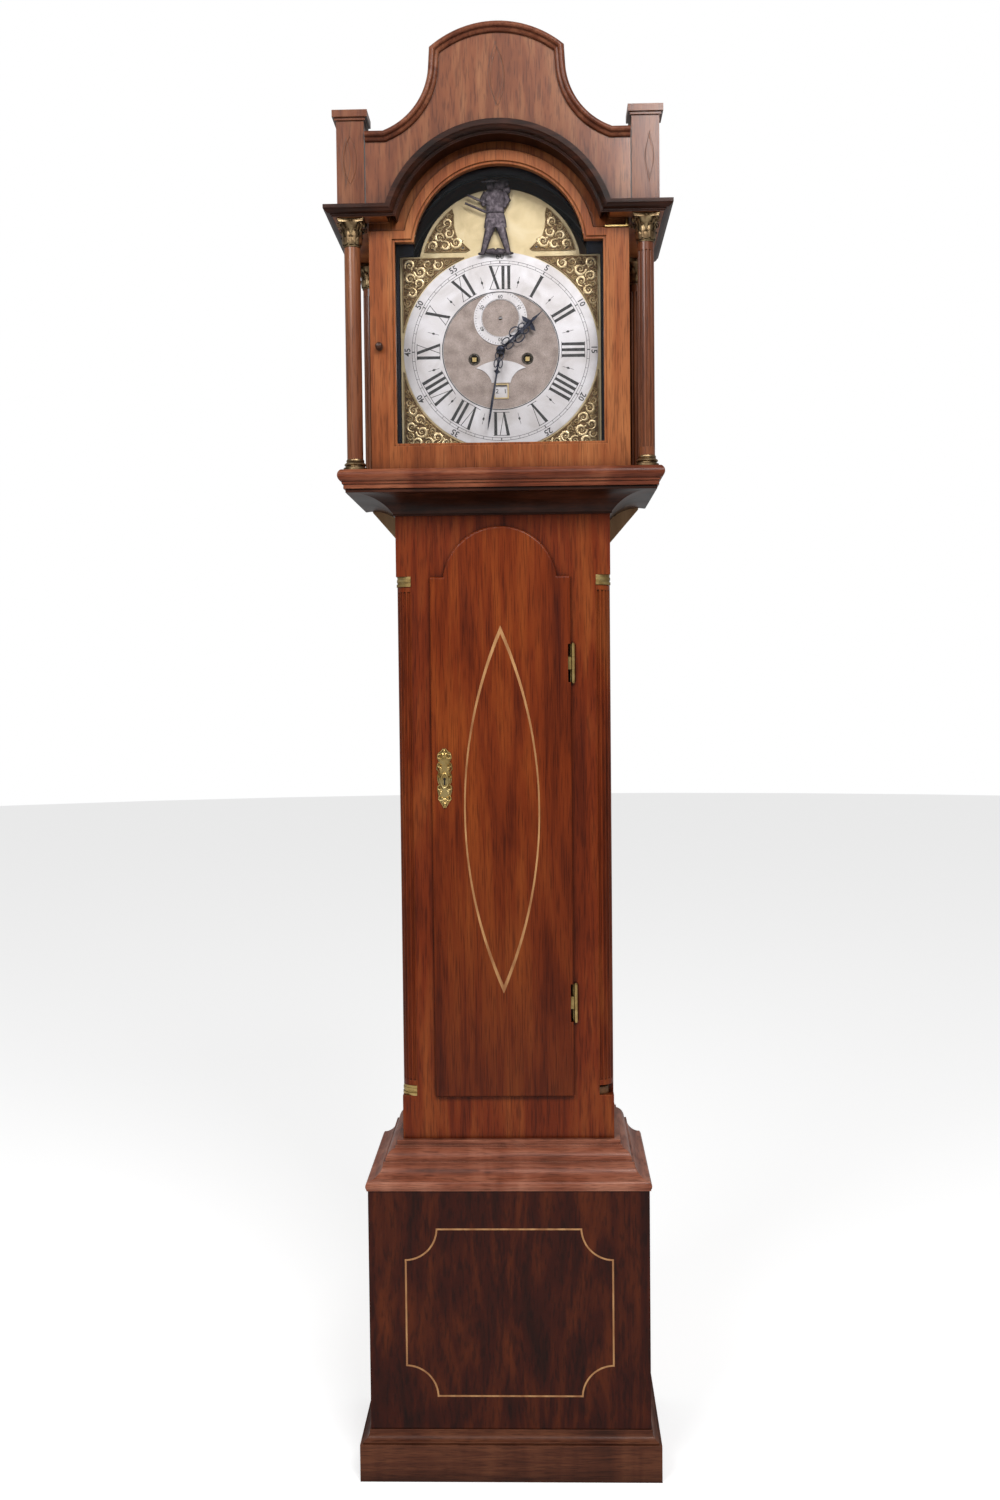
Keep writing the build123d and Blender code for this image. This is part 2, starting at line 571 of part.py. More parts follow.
def make_cornice():
    door_top = hood_door_shoulder + 1.0
    arch_inner = hood_door_arch_radius + 1.0
    frieze = rect(-hood_half_width, hood_half_width, door_top, cornice_soffit)
    frieze += disc(0, arch_centre_z, arch_mould_outer) & above(cornice_soffit)
    frieze -= disc(0, arch_centre_z, arch_inner)
    frieze -= rect(-arch_inner + 3, arch_inner - 3, door_top - 1, arch_centre_z + 20)
    frieze = slab(frieze, hood_door_near, frieze_depth)
    strap_reach = door_pivot_x - strap_end + 2
    strap_room = block(door_pivot_x - strap_reach, hood_half_width + 1, strap_near - 0.3, frieze_depth + 1,
                       door_top - 1, hood_door_shoulder + strap_thickness + 0.5)
    pin_room = strap_pin_radius + 0.3
    pin_channel = block(door_pivot_x - pin_room, door_pivot_x + pin_room, door_pivot_depth - pin_room,
                        frieze_depth + 1, door_top, cornice_soffit + 1)
    frieze -= strap_room + pin_channel

    ring_foot = sqrt(arch_mould_inner ** 2 - (cornice_soffit - arch_centre_z) ** 2)
    ring_top = sqrt(arch_mould_outer ** 2 - (cornice_top - arch_centre_z) ** 2)
    zone = shape(
        (ring_foot, cornice_soffit), (ring_top, cornice_top), (ring_top + 60, cornice_top + 60),
        (ring_top + 60, far_off), (-ring_top - 60, far_off), (-ring_top - 60, cornice_top + 60),
        (-ring_top, cornice_top), (-ring_foot, cornice_soffit))
    ring_profile = nose_profile(cornice_reach, arch_mould_height, cornice_reach)
    ring = Plane(origin=(0, wall_y - frieze_depth, arch_centre_z + arch_mould_inner),
                 x_dir=(0, -1, 0), z_dir=(-1, 0, 0)) * ring_profile
    ring = revolve(ring, axis=Axis((0, 0, arch_centre_z), (0, 1, 0)))
    zone = slab(zone, 0, far_off)
    ring &= zone

    strip = 13.0
    profile = Pos(0, cornice_soffit) * nose_profile(strip, cornice_height, strip)
    run = moulding(profile, cornice_half_width - strip, cornice_depth - strip, 2)
    front = run[0] - zone
    low_x = sqrt(roof_radius ** 2 - (cornice_top - arch_centre_z) ** 2) - 14
    plan = rect_plan(low_x, cornice_half_width - strip, 2, cornice_depth - strip)
    soffit = Pos(0, 0, cornice_soffit) * extrude(plan, amount=cornice_height)
    soffit -= zone
    soffit -= rod(0, arch_centre_z, 0, far_off, roof_radius)
    soffit = pair(soffit)
    hole = Pos(door_pivot_x, wall_y - door_pivot_depth, cornice_soffit + 3.5)
    soffit[0] -= hole * Cylinder(strap_pin_radius + pivot_play, 9)
    vault = disc(0, arch_centre_z, roof_radius) - disc(0, arch_centre_z, roof_radius - roof_thickness)
    vault &= above(cornice_soffit)
    save("hood_cornice", ring, front, run[1:])
    save("hood_roof", soffit, slab(vault, 2, hood_door_near - 0.2), frieze)


def nose_profile(reach, height, lower_reach):
    """Section of the cornice: a flat soffit, two small steps and a square nose at the top."""
    steps = [(0, 0), (lower_reach - 11, 0), (lower_reach - 11, 1.8), (lower_reach - 9.5, 1.8),
             (lower_reach - 9.5, 4.2)]
    section = Polyline(*steps)
    section += ThreePointArc((lower_reach - 9.5, 4.2), (lower_reach - 4.2, 5.4), (lower_reach - 1.5, 9.2))
    section += Polyline((lower_reach - 1.5, 9.2), (reach, 9.8), (reach, height), (0, height), (0, 0))
    return make_face(section)


def cresting_outline(inset=0.0):
    """The cresting board's outline: an arc on top, hollow sides and level shoulders."""
    crest_radius = (crest_half_width ** 2 + (crest_top_z - crest_corner_z) ** 2)
    crest_radius = crest_radius / (2 * (crest_top_z - crest_corner_z)) - inset
    crest = disc(0, crest_top_z - inset - crest_radius, crest_radius)
    side = crest_half_width - inset
    crest &= rect(-side, side, hollow_z - 40, far_off)
    body = rect(-side, side, dial_centre_z, crest_corner_z - inset * 0.6)
    top = crest + body
    wings = rect(-cornice_half_width, cornice_half_width, dial_centre_z, hollow_z)
    for sign in (-1, 1):
        wings -= disc(sign * hollow_x, hollow_z, hollow_radius + inset)
        shoulder = sorted((sign * (hollow_x - shoulder_width), sign * far_off))
        wings -= rect(*shoulder, shoulder_z - inset, far_off)
    return top + wings


def make_cresting():
    half = block_inner - 1.5
    window = rect(-half, half, cornice_top, far_off)
    board_shape = (cresting_outline() & window) - disc(0, arch_centre_z, arch_mould_outer + 0.2)
    back = cresting_front - cresting_thickness
    cresting = slab(board_shape, back, cresting_front)
    scribed = pointed_oval(1.0, crest_top_z - 78, 10.5, 44, scribe)
    cresting -= slab(scribed, cresting_front - 0.6, cresting_front + 1)
    save("pediment_board", cresting)

    strip = rect(-half, half, shoulder_z - 16, far_off)
    near, steps = cresting_front, ((14.5, 4.0), (9.5, 4.0), (5.0, 3.0))
    applied = []
    for width, thickness in steps:
        band = (cresting_outline() - cresting_outline(width)) & strip
        applied.append(slab(band, near, near + thickness))
        near += thickness
    save("pediment_moulding", applied[0] + applied[1] + applied[2])

    outer, far = block_inner + block_width, cresting_front + block_proud
    post = block(block_inner, outer, far - block_depth, far, cornice_top, block_top)
    caps = []
    for out, low, high in ((2.5, 0, 4), (5.5, 4, 14)):
        caps.append(block(block_inner - out, outer + out, far - block_depth - out, far + out,
                          block_top + low, block_top + high))
    posts = pair(post)
    scribed = pointed_oval(-(block_inner + outer) / 2, block_top - 58, 10.0, 36, scribe)
    posts[1] -= slab(scribed, far - 0.6, far + 1)
    save("finial_blocks", posts, pair(caps[0] + caps[1]))


def make_columns():
    """Front and rear columns; the front left shaft is plain and the others are fluted."""
    shafts, brasses = [], []
    flute_count = 12
    flute_radius, plain_end = 1.6, 12.0
    bottom, top = hood_base_top + column_foot_height, cornice_soffit - column_cap_height
    length = top - bottom - 2 * plain_end
    for sign in (-1, 1):
        for depth in (column_depth, rear_column_depth):
            place = Pos(sign * column_x, wall_y - depth, 0)
            shaft = Pos(0, 0, (bottom + top) / 2) * Cylinder(column_radius, top - bottom)
            if not (sign < 0 and depth == column_depth):
                for n in range(flute_count):
                    angle = 2 * pi * n / flute_count
                    spot = (column_radius * cos(angle), column_radius * sin(angle))
                    shaft -= Pos(*spot, (bottom + top) / 2) * Cylinder(flute_radius, length)
            shafts.append(place * shaft)
            brasses += [place * solid for solid in (column_base(), column_capital())]
    save("hood_columns", shafts)
    save("hood_column_brasses", brasses)


def turned(points):
    """A turned piece on the Z axis from (radius, height) points."""
    low, high = points[0][1], points[-1][1]
    return revolve(Plane.XZ * shape((0, low), *points, (0, high)), axis=Axis.Z)


def column_base():
    z = hood_base_top
    return turned([(17.5, z), (17.5, z + 3.5), (14.0, z + 5), (14.0, z + 6), (16.0, z + 8),
                   (14.2, z + 10.5), (12.6, z + 12), (13.2, z + 13.5),
                   (12.6, z + column_foot_height)])


def column_capital():
    z = cornice_soffit - column_cap_height
    bell = turned([(13.2, z), (13.2, z + 2.5), (12.2, z + 4), (13.5, z + 12), (14.5, z + 13.5),
                   (13.0, z + 15), (15.0, z + 24), (18.5, z + 31), (18.5, z + 34)])
    abacus_thickness = 5.0
    abacus = Rectangle(41, 41)
    for angle in (0, 90, 180, 270):
        abacus -= Rot(0, 0, angle) * Pos(58, 0) * Circle(41)
    abacus = Pos(0, 0, cornice_soffit - abacus_thickness) * extrude(abacus, amount=abacus_thickness)
    return bell + abacus


# Hood door
hood_door_foot_gap, hood_door_head_gap = 3.1, 13.0
hood_door_inside_arch = 13.0    # how far its arch lies inside the arched moulding
hood_door_behind_frieze = 16.6
hood_door_thickness = 20.0
glass_side, glass_foot, glass_head, glass_arch_side, glass_arch_drop = 2.5, 5.0, 6.5, 3.4, 8.3
glass_in, glass_thickness, glass_rebate = 2.6, 3.0, 6.0
pivot_in, pivot_back = 3.0, 2.4
strap_pin_radius = 2.0
strap_thickness, strap_length, strap_width, strap_in = 2.0, 32.0, 11.0, 12.1
knob_in, knob_drop, knob_shaft = 13.6, 4.3, 3.0
knob_tongue, tongue_half, tongue_thickness, tongue_back = 10.5, 4.0, 3.5, 8.4

hood_door_bottom = hood_base_top + hood_door_foot_gap
hood_door_shoulder = cornice_soffit - hood_door_head_gap
hood_door_arch_radius = arch_mould_inner - hood_door_inside_arch
hood_door_near = frieze_depth - hood_door_behind_frieze
hood_door_front = hood_door_near + hood_door_thickness
glass_half_width = dial_half_width + glass_side
glass_bottom = dial_centre_z - dial_half_width + glass_foot
glass_shoulder = dial_shoulder_z + glass_head
glass_arch_radius = dial_arch_radius + glass_arch_side
glass_arch_centre = dial_shoulder_z - glass_arch_drop
glass_near = hood_door_near + glass_in
door_pivot_x, door_pivot_depth = hood_half_width - pivot_in, hood_door_front - pivot_back
strap_end = door_pivot_x - strap_length
strap_near = hood_door_near + strap_in
strap_far = strap_near + strap_width
knob_x, knob_z = knob_in - hood_half_width, dial_centre_z - knob_drop
tongue_near = hood_door_near - tongue_back
tongue_far = tongue_near + tongue_thickness


def glass_outline(grow=0.0):
    square = rect(-glass_half_width - grow, glass_half_width + grow, glass_bottom - grow,
                  glass_shoulder + grow)
    return square + disc(0, glass_arch_centre, glass_arch_radius + grow)


def make_hood_door():
    outline = rect(-hood_half_width, hood_half_width, hood_door_bottom, hood_door_shoulder)
    outline += disc(0, arch_centre_z, hood_door_arch_radius)
    frame = slab(outline - glass_outline(), hood_door_near, hood_door_front)
    frame -= slab(glass_outline(glass_rebate), hood_door_near - 1, glass_near + glass_thickness)
    frame -= slab(glass_outline(4.0), hood_door_front - 2.5, hood_door_front + 1)
    frame -= rod(knob_x, knob_z, hood_door_near - 1, hood_door_front + 1, knob_shaft + pivot_play)
    save("hood_door_frame", frame)
    save("hood_door_glass", slab(glass_outline(glass_rebate - 0.4), glass_near, glass_near + glass_thickness))

    straps = []
    seats = ((hood_door_shoulder, hood_door_shoulder + strap_thickness, cornice_soffit + 7),
             (hood_door_bottom - strap_thickness, hood_door_bottom, hood_base_top - 7))
    for z0, z1, pin_end in seats:
        plan = rect_plan(strap_end, door_pivot_x, strap_near, strap_far)
        plan += Pos(door_pivot_x, wall_y - door_pivot_depth) * Circle(5.5)
        strap = Pos(0, 0, z0) * extrude(plan, amount=z1 - z0)
        low, high = min(z0, pin_end), max(z1, pin_end)
        pin = Pos(door_pivot_x, wall_y - door_pivot_depth, (low + high) / 2)
        straps.append(strap + pin * Cylinder(strap_pin_radius, high - low))
    save("hood_door_hinges", straps)

    knob = Plane(origin=(knob_x, wall_y, knob_z), x_dir=(1, 0, 0), z_dir=(0, 0, 1))
    front = hood_door_front + touch_gap
    outline = shape((0, -tongue_near), (knob_shaft, -tongue_near), (knob_shaft, -front), (5.2, -front),
                    (5.2, -front - 1.2), (2.6, -front - 2.4), (2.6, -front - 4), (5.0, -front - 6),
                    (5.4, -front - 9), (3.6, -front - 11.5), (0, -front - 12.2))
    knob = revolve(knob * outline, axis=Axis((knob_x, 0, knob_z), (0, 1, 0)))
    tongue = rect(knob_x - tongue_half, knob_x + tongue_half, knob_z - knob_tongue, knob_z)
    tongue += disc(knob_x, knob_z, tongue_half)
    save("hood_door_knob", knob + slab(tongue, tongue_near, tongue_far))


# Dial and hands
winding_x, winding_drop, winding_hole = 40.0, 12.0, 6.0
seconds_z = dial_centre_z + 48.7
chapter_outer, chapter_inner, chapter_thickness = 146.0, 86.5, 1.5
seconds_outer, seconds_inner, seconds_hole = 40.0, 27.6, 3.0
small_plate = 1.2
date_z, date_half, date_rim = dial_centre_z - 60.0, 9.5, 1.6
date_ring_outer, date_ring_inner = 71.5, 49.0
spandrel_margin, spandrel_gap, spandrel_thickness = 4.0, 22.0, 3.0
hand_thickness = 1.5
hour_hand_near = dial_front + 8.0
pipe_end = hour_hand_near + hand_thickness + 2.5
minute_hand_near = pipe_end + 1.5
minute_hand_angle, minute_hand_length, minute_hand_width = 189.65, 122.0, 6.0
hour_hand_angle, hour_hand_length, hour_hand_width = 48.0, 86.0, 9.0
figure_x, figure_pivot_z, stud_radius = -5.9, 1846.5, 1.5
figure_near, figure_thickness = dial_front + 5.0, 6.0


def dial_bottom():
    return dial_centre_z - dial_half_width


def arch_centre():
    return dial_arch_top - dial_arch_radius


def winding_z():
    return dial_centre_z - winding_drop


def dial_outline():
    plate = rect(-dial_half_width, dial_half_width, dial_bottom(), dial_shoulder_z)
    arch = disc(0, arch_centre(), dial_arch_radius)
    return plate + (arch & above(dial_shoulder_z - 5))


def make_dial():
    back = dial_front - dial_thickness
    holes = disc(0, dial_centre_z, pipe_radius + 3) + disc(0, seconds_z, seconds_hole)
    for x in (-winding_x, winding_x):
        holes += disc(x, winding_z(), winding_hole)
    aperture = rect(-date_half, date_half, date_z - date_half, date_z + date_half)
    plate = slab(dial_outline() - holes - aperture, back, dial_front)
    stud_end = figure_near + figure_thickness + 1
    save("dial_plate", plate + rod(figure_x, figure_pivot_z, dial_front, stud_end, stud_radius))

    ring = disc(0, dial_centre_z, chapter_outer) - disc(0, dial_centre_z, chapter_inner)
    save("chapter_ring", slab(ring, dial_front, dial_front + chapter_thickness))

    seconds = disc(0, seconds_z, seconds_outer) - disc(0, seconds_z, seconds_inner)
    seconds &= disc(0, dial_centre_z, chapter_inner - 0.2)
    frame_half = date_half + date_rim
    rim = rect(-frame_half, frame_half, date_z - frame_half, date_z + frame_half) - aperture
    plates = [slab(flat, dial_front, dial_front + small_plate) for flat in (seconds, name_plate_outline())]
    save("dial_small_plates", plates, slab(rim, dial_front, dial_front + small_plate + 0.4))

    date_ring = disc(0, dial_centre_z, date_ring_outer) - disc(0, dial_centre_z, date_ring_inner)
    save("date_ring", slab(date_ring, back - touch_gap - small_plate, back - touch_gap))
    spandrels = corner_spandrels() + arch_spandrels()
    save("dial_spandrels", slab(spandrels, dial_front, dial_front + spandrel_thickness))

    save("hour_hand", hand(hour_hand_angle, hour_hand_length, hour_hand_width, hour_hand_near,
                           pipe_radius, pipe_radius + 2.4))
    save("minute_hand", hand(minute_hand_angle, minute_hand_length, minute_hand_width, minute_hand_near,
                             arbor, arbor + 2.8))


def name_plate_outline():
    """A name plate with a bowed top and hollow sides, left bare."""
    top, shoulder, half = dial_centre_z - 14.2, dial_centre_z - 25.5, 37.4
    foot, foot_half = dial_centre_z - 47.5, 14.0
    waist, waist_half = dial_centre_z - 33.0, 22.0
    edge = ThreePointArc((-half, shoulder), (0, top), (half, shoulder))
    edge += ThreePointArc((half, shoulder), (waist_half, waist), (foot_half, foot))
    edge += Line((foot_half, foot), (-foot_half, foot))
    edge += ThreePointArc((-foot_half, foot), (-waist_half, waist), (-half, shoulder))
    return make_face(edge)


def corner_spandrels():
    """Four corner pieces between the chapter ring and the plate's corners."""
    half = dial_half_width - spandrel_margin
    field = rect(-half, half, dial_bottom() + spandrel_margin, dial_shoulder_z - 2)
    field -= disc(0, dial_centre_z, chapter_outer + 3)
    field -= rect(-spandrel_gap, spandrel_gap, dial_bottom() - 1, dial_shoulder_z + 1)
    field -= rect(-dial_half_width, dial_half_width, dial_centre_z - spandrel_gap,
                  dial_centre_z + spandrel_gap)
    return field


def arch_spandrels():
    """Two pieces that fill the arch beside the figure, with a hollow upper edge."""
    low, high = dial_shoulder_z - 8, dial_arch_top + 60
    field = disc(0, arch_centre(), dial_arch_radius - 5) & above(dial_shoulder_z + 7)
    foot, waist, neck = 62, 34, 20
    field -= shape((-foot, low), (-waist, low + 20), (-neck, high), (neck, high), (waist, low + 20),
                   (foot, low))
    field -= disc(0, dial_centre_z, chapter_outer + 3)
    scoop, scoop_radius = dial_arch_top + 15, 44
    return field - disc(-foot, scoop, scoop_radius) - disc(foot, scoop, scoop_radius)


def hand(angle, length, width, near, bore, boss):
    """A hand with a boss, a waisted blade and a pointed tip, drawn at twelve and turned to its hour."""
    right = [(width / 3, 0), (width / 2, length * 0.3), (width / 5, length * 0.45),
             (width / 2, length * 0.62), (width / 6, length * 0.8)]
    left = [(-across, up) for across, up in right]
    flat = shape(*left, (0, length), *reversed(right)) + Circle(boss) - Circle(bore)
    return slab(Pos(0, dial_centre_z) * Rot(0, 0, -angle) * flat, near, near + hand_thickness)


def make_figure():
    """A small standing figure, feet apart, that rocks on a stud at its feet."""
    x, foot = figure_x, dial_shoulder_z - 1.5
    left_leg = shape((x - 27, foot), (x - 15, foot), (x - 2, foot + 44), (x - 14, foot + 50))
    right_leg = shape((x + 27, foot), (x + 15, foot), (x - 2, foot + 44), (x + 12, foot + 50))
    coat = shape((x - 16, foot + 44), (x + 16, foot + 40), (x + 15, foot + 62), (x + 18, foot + 90),
                 (x + 14, foot + 100), (x - 14, foot + 99), (x - 17, foot + 90), (x - 13, foot + 62))
    head = Pos(x, foot + 105) * Ellipse(7.0, 9.5)
    hat = rect(x - 10, x + 9, foot + 108, foot + 111) + rect(x - 7, x + 6, foot + 110, foot + 114.5)
    pack = Pos(x + 14, foot + 103) * Ellipse(8.5, 10.5)
    tools = shape((x - 14, foot + 84), (x - 12, foot + 80), (x - 46, foot + 96), (x - 44, foot + 100))
    tools += shape((x - 14, foot + 74), (x - 12, foot + 70), (x - 50, foot + 84), (x - 48, foot + 88))
    base = Pos(x, foot + 6.5) * Ellipse(17, 5.5) + disc(x, figure_pivot_z, 5.0)
    flat = left_leg + right_leg + coat + head + hat + pack + tools + base
    flat -= disc(x, figure_pivot_z, stud_radius + pivot_play)
    save("automaton_figure", slab(flat, figure_near, figure_near + figure_thickness))


# Seatboard, plates and the depths of what turns between them
seat_behind, seat_depth, seat_thickness = 21.0, 103.0, 18.0
seat_near = back_plate_depth - seat_behind
seat_far = seat_near + seat_depth
seat_top = cheek_top + seat_thickness
plate_height = 188.0
plate_top = seat_top + plate_height
train_near = back_plate_depth + plate_thickness
front_plate_depth = train_near + plate_gap
frame_far = front_plate_depth + plate_thickness
end_shake = 0.4
pivot, arbor, thin_arbor = 1.2, 2.2, 1.8
pillar_x, pillar_radius = 74.0, 5.0
dial_foot_x, dial_foot_radius = 66.0, 3.5
winding_radius, winding_square = 4.0, 6.4
pipe_radius = 4.0
motion_stud = 0.8
wheel_plate, great_plate = 2.0, 3.0
centre_wheel_near = train_near + 1.5
pin_wheel_near = train_near + 3.0
great_wheel_near = train_near + 6.0
barrel_near = great_wheel_near + great_plate + 2.5
barrel_length, barrel_flange, flange_radius = 40.0, 2.5, 26.0
barrel_radius = 22.5            # to the middle of the gut
line_radius, line_slot = 0.8, 8.0
strike_wheel_near = barrel_near + barrel_length + 3.5
third_wheel_near = train_near + 34.0
escape_wheel_near = train_near + 44.0
motion_near, motion_plate = frame_far + 3.0, 2.5
hour_wheel_near = motion_near + motion_plate + 3.0
pinion_length = 10.0

# Heights and distances of the arbors
pallet_z = seconds_z + 26.9
pendulum_behind = 33.0          # pendulum behind the back plate
pendulum_depth = back_plate_depth - pendulum_behind
hammer_x, hammer_z = -70.0, dial_centre_z + 61.0
bell_z, bell_radius, bell_wall, bell_depth = plate_top + 6.0, 45.0, 3.0, back_plate_depth + 17.0
great_distance = hypot(winding_x, winding_drop)
great_teeth, centre_leaves = 96, 8
centre_teeth, third_leaves = 60, 8
third_teeth, escape_leaves = 56, 7
strike_teeth, pin_leaves, lifting_pins = 84, 8, 8
cannon_teeth, minute_teeth = 40, 40
minute_leaves, hour_teeth = 6, 72
escape_teeth, escape_radius = 30, 19.0
centre_module, third_module, strike_module = 0.8, 0.75, 0.76
motion_distance = 28.0
pin_circle, pin_wheel_radius, lifting_pin = 15.5, 18.0, 0.9


def third_place():
    """The third arbor lies where its distances to the centre and escape arbors both fit."""
    low = centre_module * (centre_teeth + third_leaves) / 2
    high = third_module * (third_teeth + escape_leaves) / 2
    apart = seconds_z - dial_centre_z
    along = (low ** 2 - high ** 2 + apart ** 2) / (2 * apart)
    return sqrt(low ** 2 - along ** 2), dial_centre_z + along


def pin_place():
    distance = strike_module * (strike_teeth + pin_leaves) / 2
    lean = radians(11.5)
    return -winding_x - distance * sin(lean), winding_z() + distance * cos(lean)


def make_frame():
    holes = [(0, dial_centre_z, arbor), (*third_place(), pivot), (0, seconds_z, pivot), (0, pallet_z, pivot),
             (*pin_place(), pivot), (hammer_x, hammer_z, pivot), (-winding_x, winding_z(), winding_radius),
             (winding_x, winding_z(), winding_radius)]
    outline = rect(-plate_half_width, plate_half_width, seat_top, plate_top)
    for x, z, radius in holes:
        outline -= disc(x, z, radius + pivot_play)
    back = slab(outline, back_plate_depth, train_near)
    front = slab(outline, front_plate_depth, frame_far)
    stud_end = hour_wheel_near + motion_plate + 5
    front += rod(0, dial_centre_z - motion_distance, front_plate_depth, stud_end, motion_stud)
    save("movement_plates", back, front, back_cock())

    pillars, feet = [], []
    middle = (train_near + front_plate_depth) / 2
    for x in (-pillar_x, pillar_x):
        for z in (seat_top + 12, plate_top - 10):
            knop = rod(x, z, middle - 6, middle + 6, pillar_radius + 2)
            pillars.append(rod(x, z, train_near, front_plate_depth, pillar_radius) + knop)
    for x in (-dial_foot_x, dial_foot_x):
        for z in (dial_bottom() + 90, dial_shoulder_z - 52):
            feet.append(rod(x, z, frame_far, dial_front - dial_thickness, dial_foot_radius))
    save("movement_pillars", pillars, feet)

    seat = block(-trunk_half_width, trunk_half_width, seat_near, seat_far, cheek_top, seat_top)
    for x in (-winding_x, winding_x):
        low, near = x - barrel_radius - line_slot / 2, line_depth() - barrel_length / 2
        seat -= block(low, low + line_slot, near, near + barrel_length, cheek_top - 1, seat_top + 1)
    save("seatboard", seat)
    make_bell()


def back_cock():
    """The cock behind the back plate, with two cheeks that carry the pendulum's pin."""
    foot = block(-18, 18, back_plate_depth - 8, back_plate_depth, pallet_z + 6, pallet_z + 22)
    arm = block(-6, 6, pendulum_depth - cock_half, back_plate_depth - 8, pallet_z + 8, pallet_z + 20)
    bore = rod(0, pallet_z, 0, back_plate_depth - 20, pivot + pivot_play)
    for side in (-1, 1):
        near, far = sorted((side * (cock_half - cheek), side * cock_half))
        ear = block(-4, 4, pendulum_depth + near, pendulum_depth + far, pallet_z - 4, pallet_z + 9)
        arm += ear - bore
    return foot + arm


def make_bell():
    """A bell over the plates on a stand that rises behind it from the back plate."""
    shell = disc(0, 0, bell_radius) - disc(0, 0, bell_radius - bell_wall)
    shell = revolve(Plane.XZ * (shell & rect(0, 100, 0, 100)), axis=Axis.Z)
    stem_height, nut_height = 14.0, 5.0
    stem = Pos(0, 0, bell_radius) * Cylinder(3.0, stem_height)
    nut = Pos(0, 0, bell_radius + 6) * Cylinder(6.0, nut_height)
    bell = Pos(0, wall_y - bell_depth, bell_z) * (shell + stem + nut)

    arm_z, arm_thickness = bell_z + bell_radius + 6 + nut_height / 2, 4.0
    post_x0, post_x1, post_near = 22.0, 30.0, back_plate_depth - 34
    post_far = post_near + 5
    foot_z = plate_top - 16
    post = block(post_x0, post_x1, post_near, post_far, foot_z, arm_z + arm_thickness)
    post += block(post_x0, post_x1, post_near, back_plate_depth, foot_z, foot_z + 8)
    plan = [(post_x0, post_near), (post_x1, post_near), (post_x1, post_far), (5, bell_depth + 5),
            (-5, bell_depth + 5), (-5, bell_depth - 5)]
    arm = shape(*[(x, wall_y - depth) for x, depth in plan])
    arm = Pos(0, 0, arm_z) * extrude(arm, amount=arm_thickness)
    save("bell", bell, post + arm)


# Wheels and pinions
wheel_share, leaf_share = 0.32, 0.28


def toothed(teeth, module, share, addendum, phase, x, z, bore=0.0):
    """A toothed outline with straight flanks; phase turns one tooth to that angle from X."""
    radius, pitch = teeth * module / 2, 2 * pi / teeth
    root, tip = radius - 1.25 * module, radius + addendum * module
    points = []
    for n in range(teeth):
        middle = phase + n * pitch
        for r, part in ((root, -0.62), (tip, -0.3), (tip, 0.3), (root, 0.62)):
            angle = middle + part * share * pitch
            points.append((x + r * cos(angle), z + r * sin(angle)))
    outline = shape(*points)
    return outline - disc(x, z, bore) if bore else outline


def crossed(x, z, hub, rim, arm):
    """The openings between a wheel's four arms."""
    ring = disc(x, z, rim) - disc(x, z, hub)
    for turn in (45, 135):
        ring -= Pos(x, z) * Rot(0, 0, turn) * Rectangle(3 * rim, arm)
    return ring


def wheel_face(teeth, module, phase, x, z, hub, bore=0.0):
    rim = teeth * module / 2 - 4.5 * module
    return toothed(teeth, module, wheel_share, 0.7, phase, x, z, bore) - crossed(x, z, hub, rim, 3.0)


def pinion_face(leaves, module, phase, x, z, bore=0.0):
    return toothed(leaves, module, leaf_share, 0.6, phase, x, z, bore)


def facing_gap(teeth, direction):
    """Phase of a wheel that shows a gap, not a tooth, in this direction."""
    return direction + pi / teeth


def plate_at(face, near, thickness):
    return slab(face, near, near + thickness)


def pivoted(x, z, radius=1.8):
    """An arbor that fills the frame, with a thinner pivot in each plate."""
    body = rod(x, z, train_near + end_shake, front_plate_depth - end_shake, radius)
    return body + rod(x, z, back_plate_depth, frame_far, pivot)


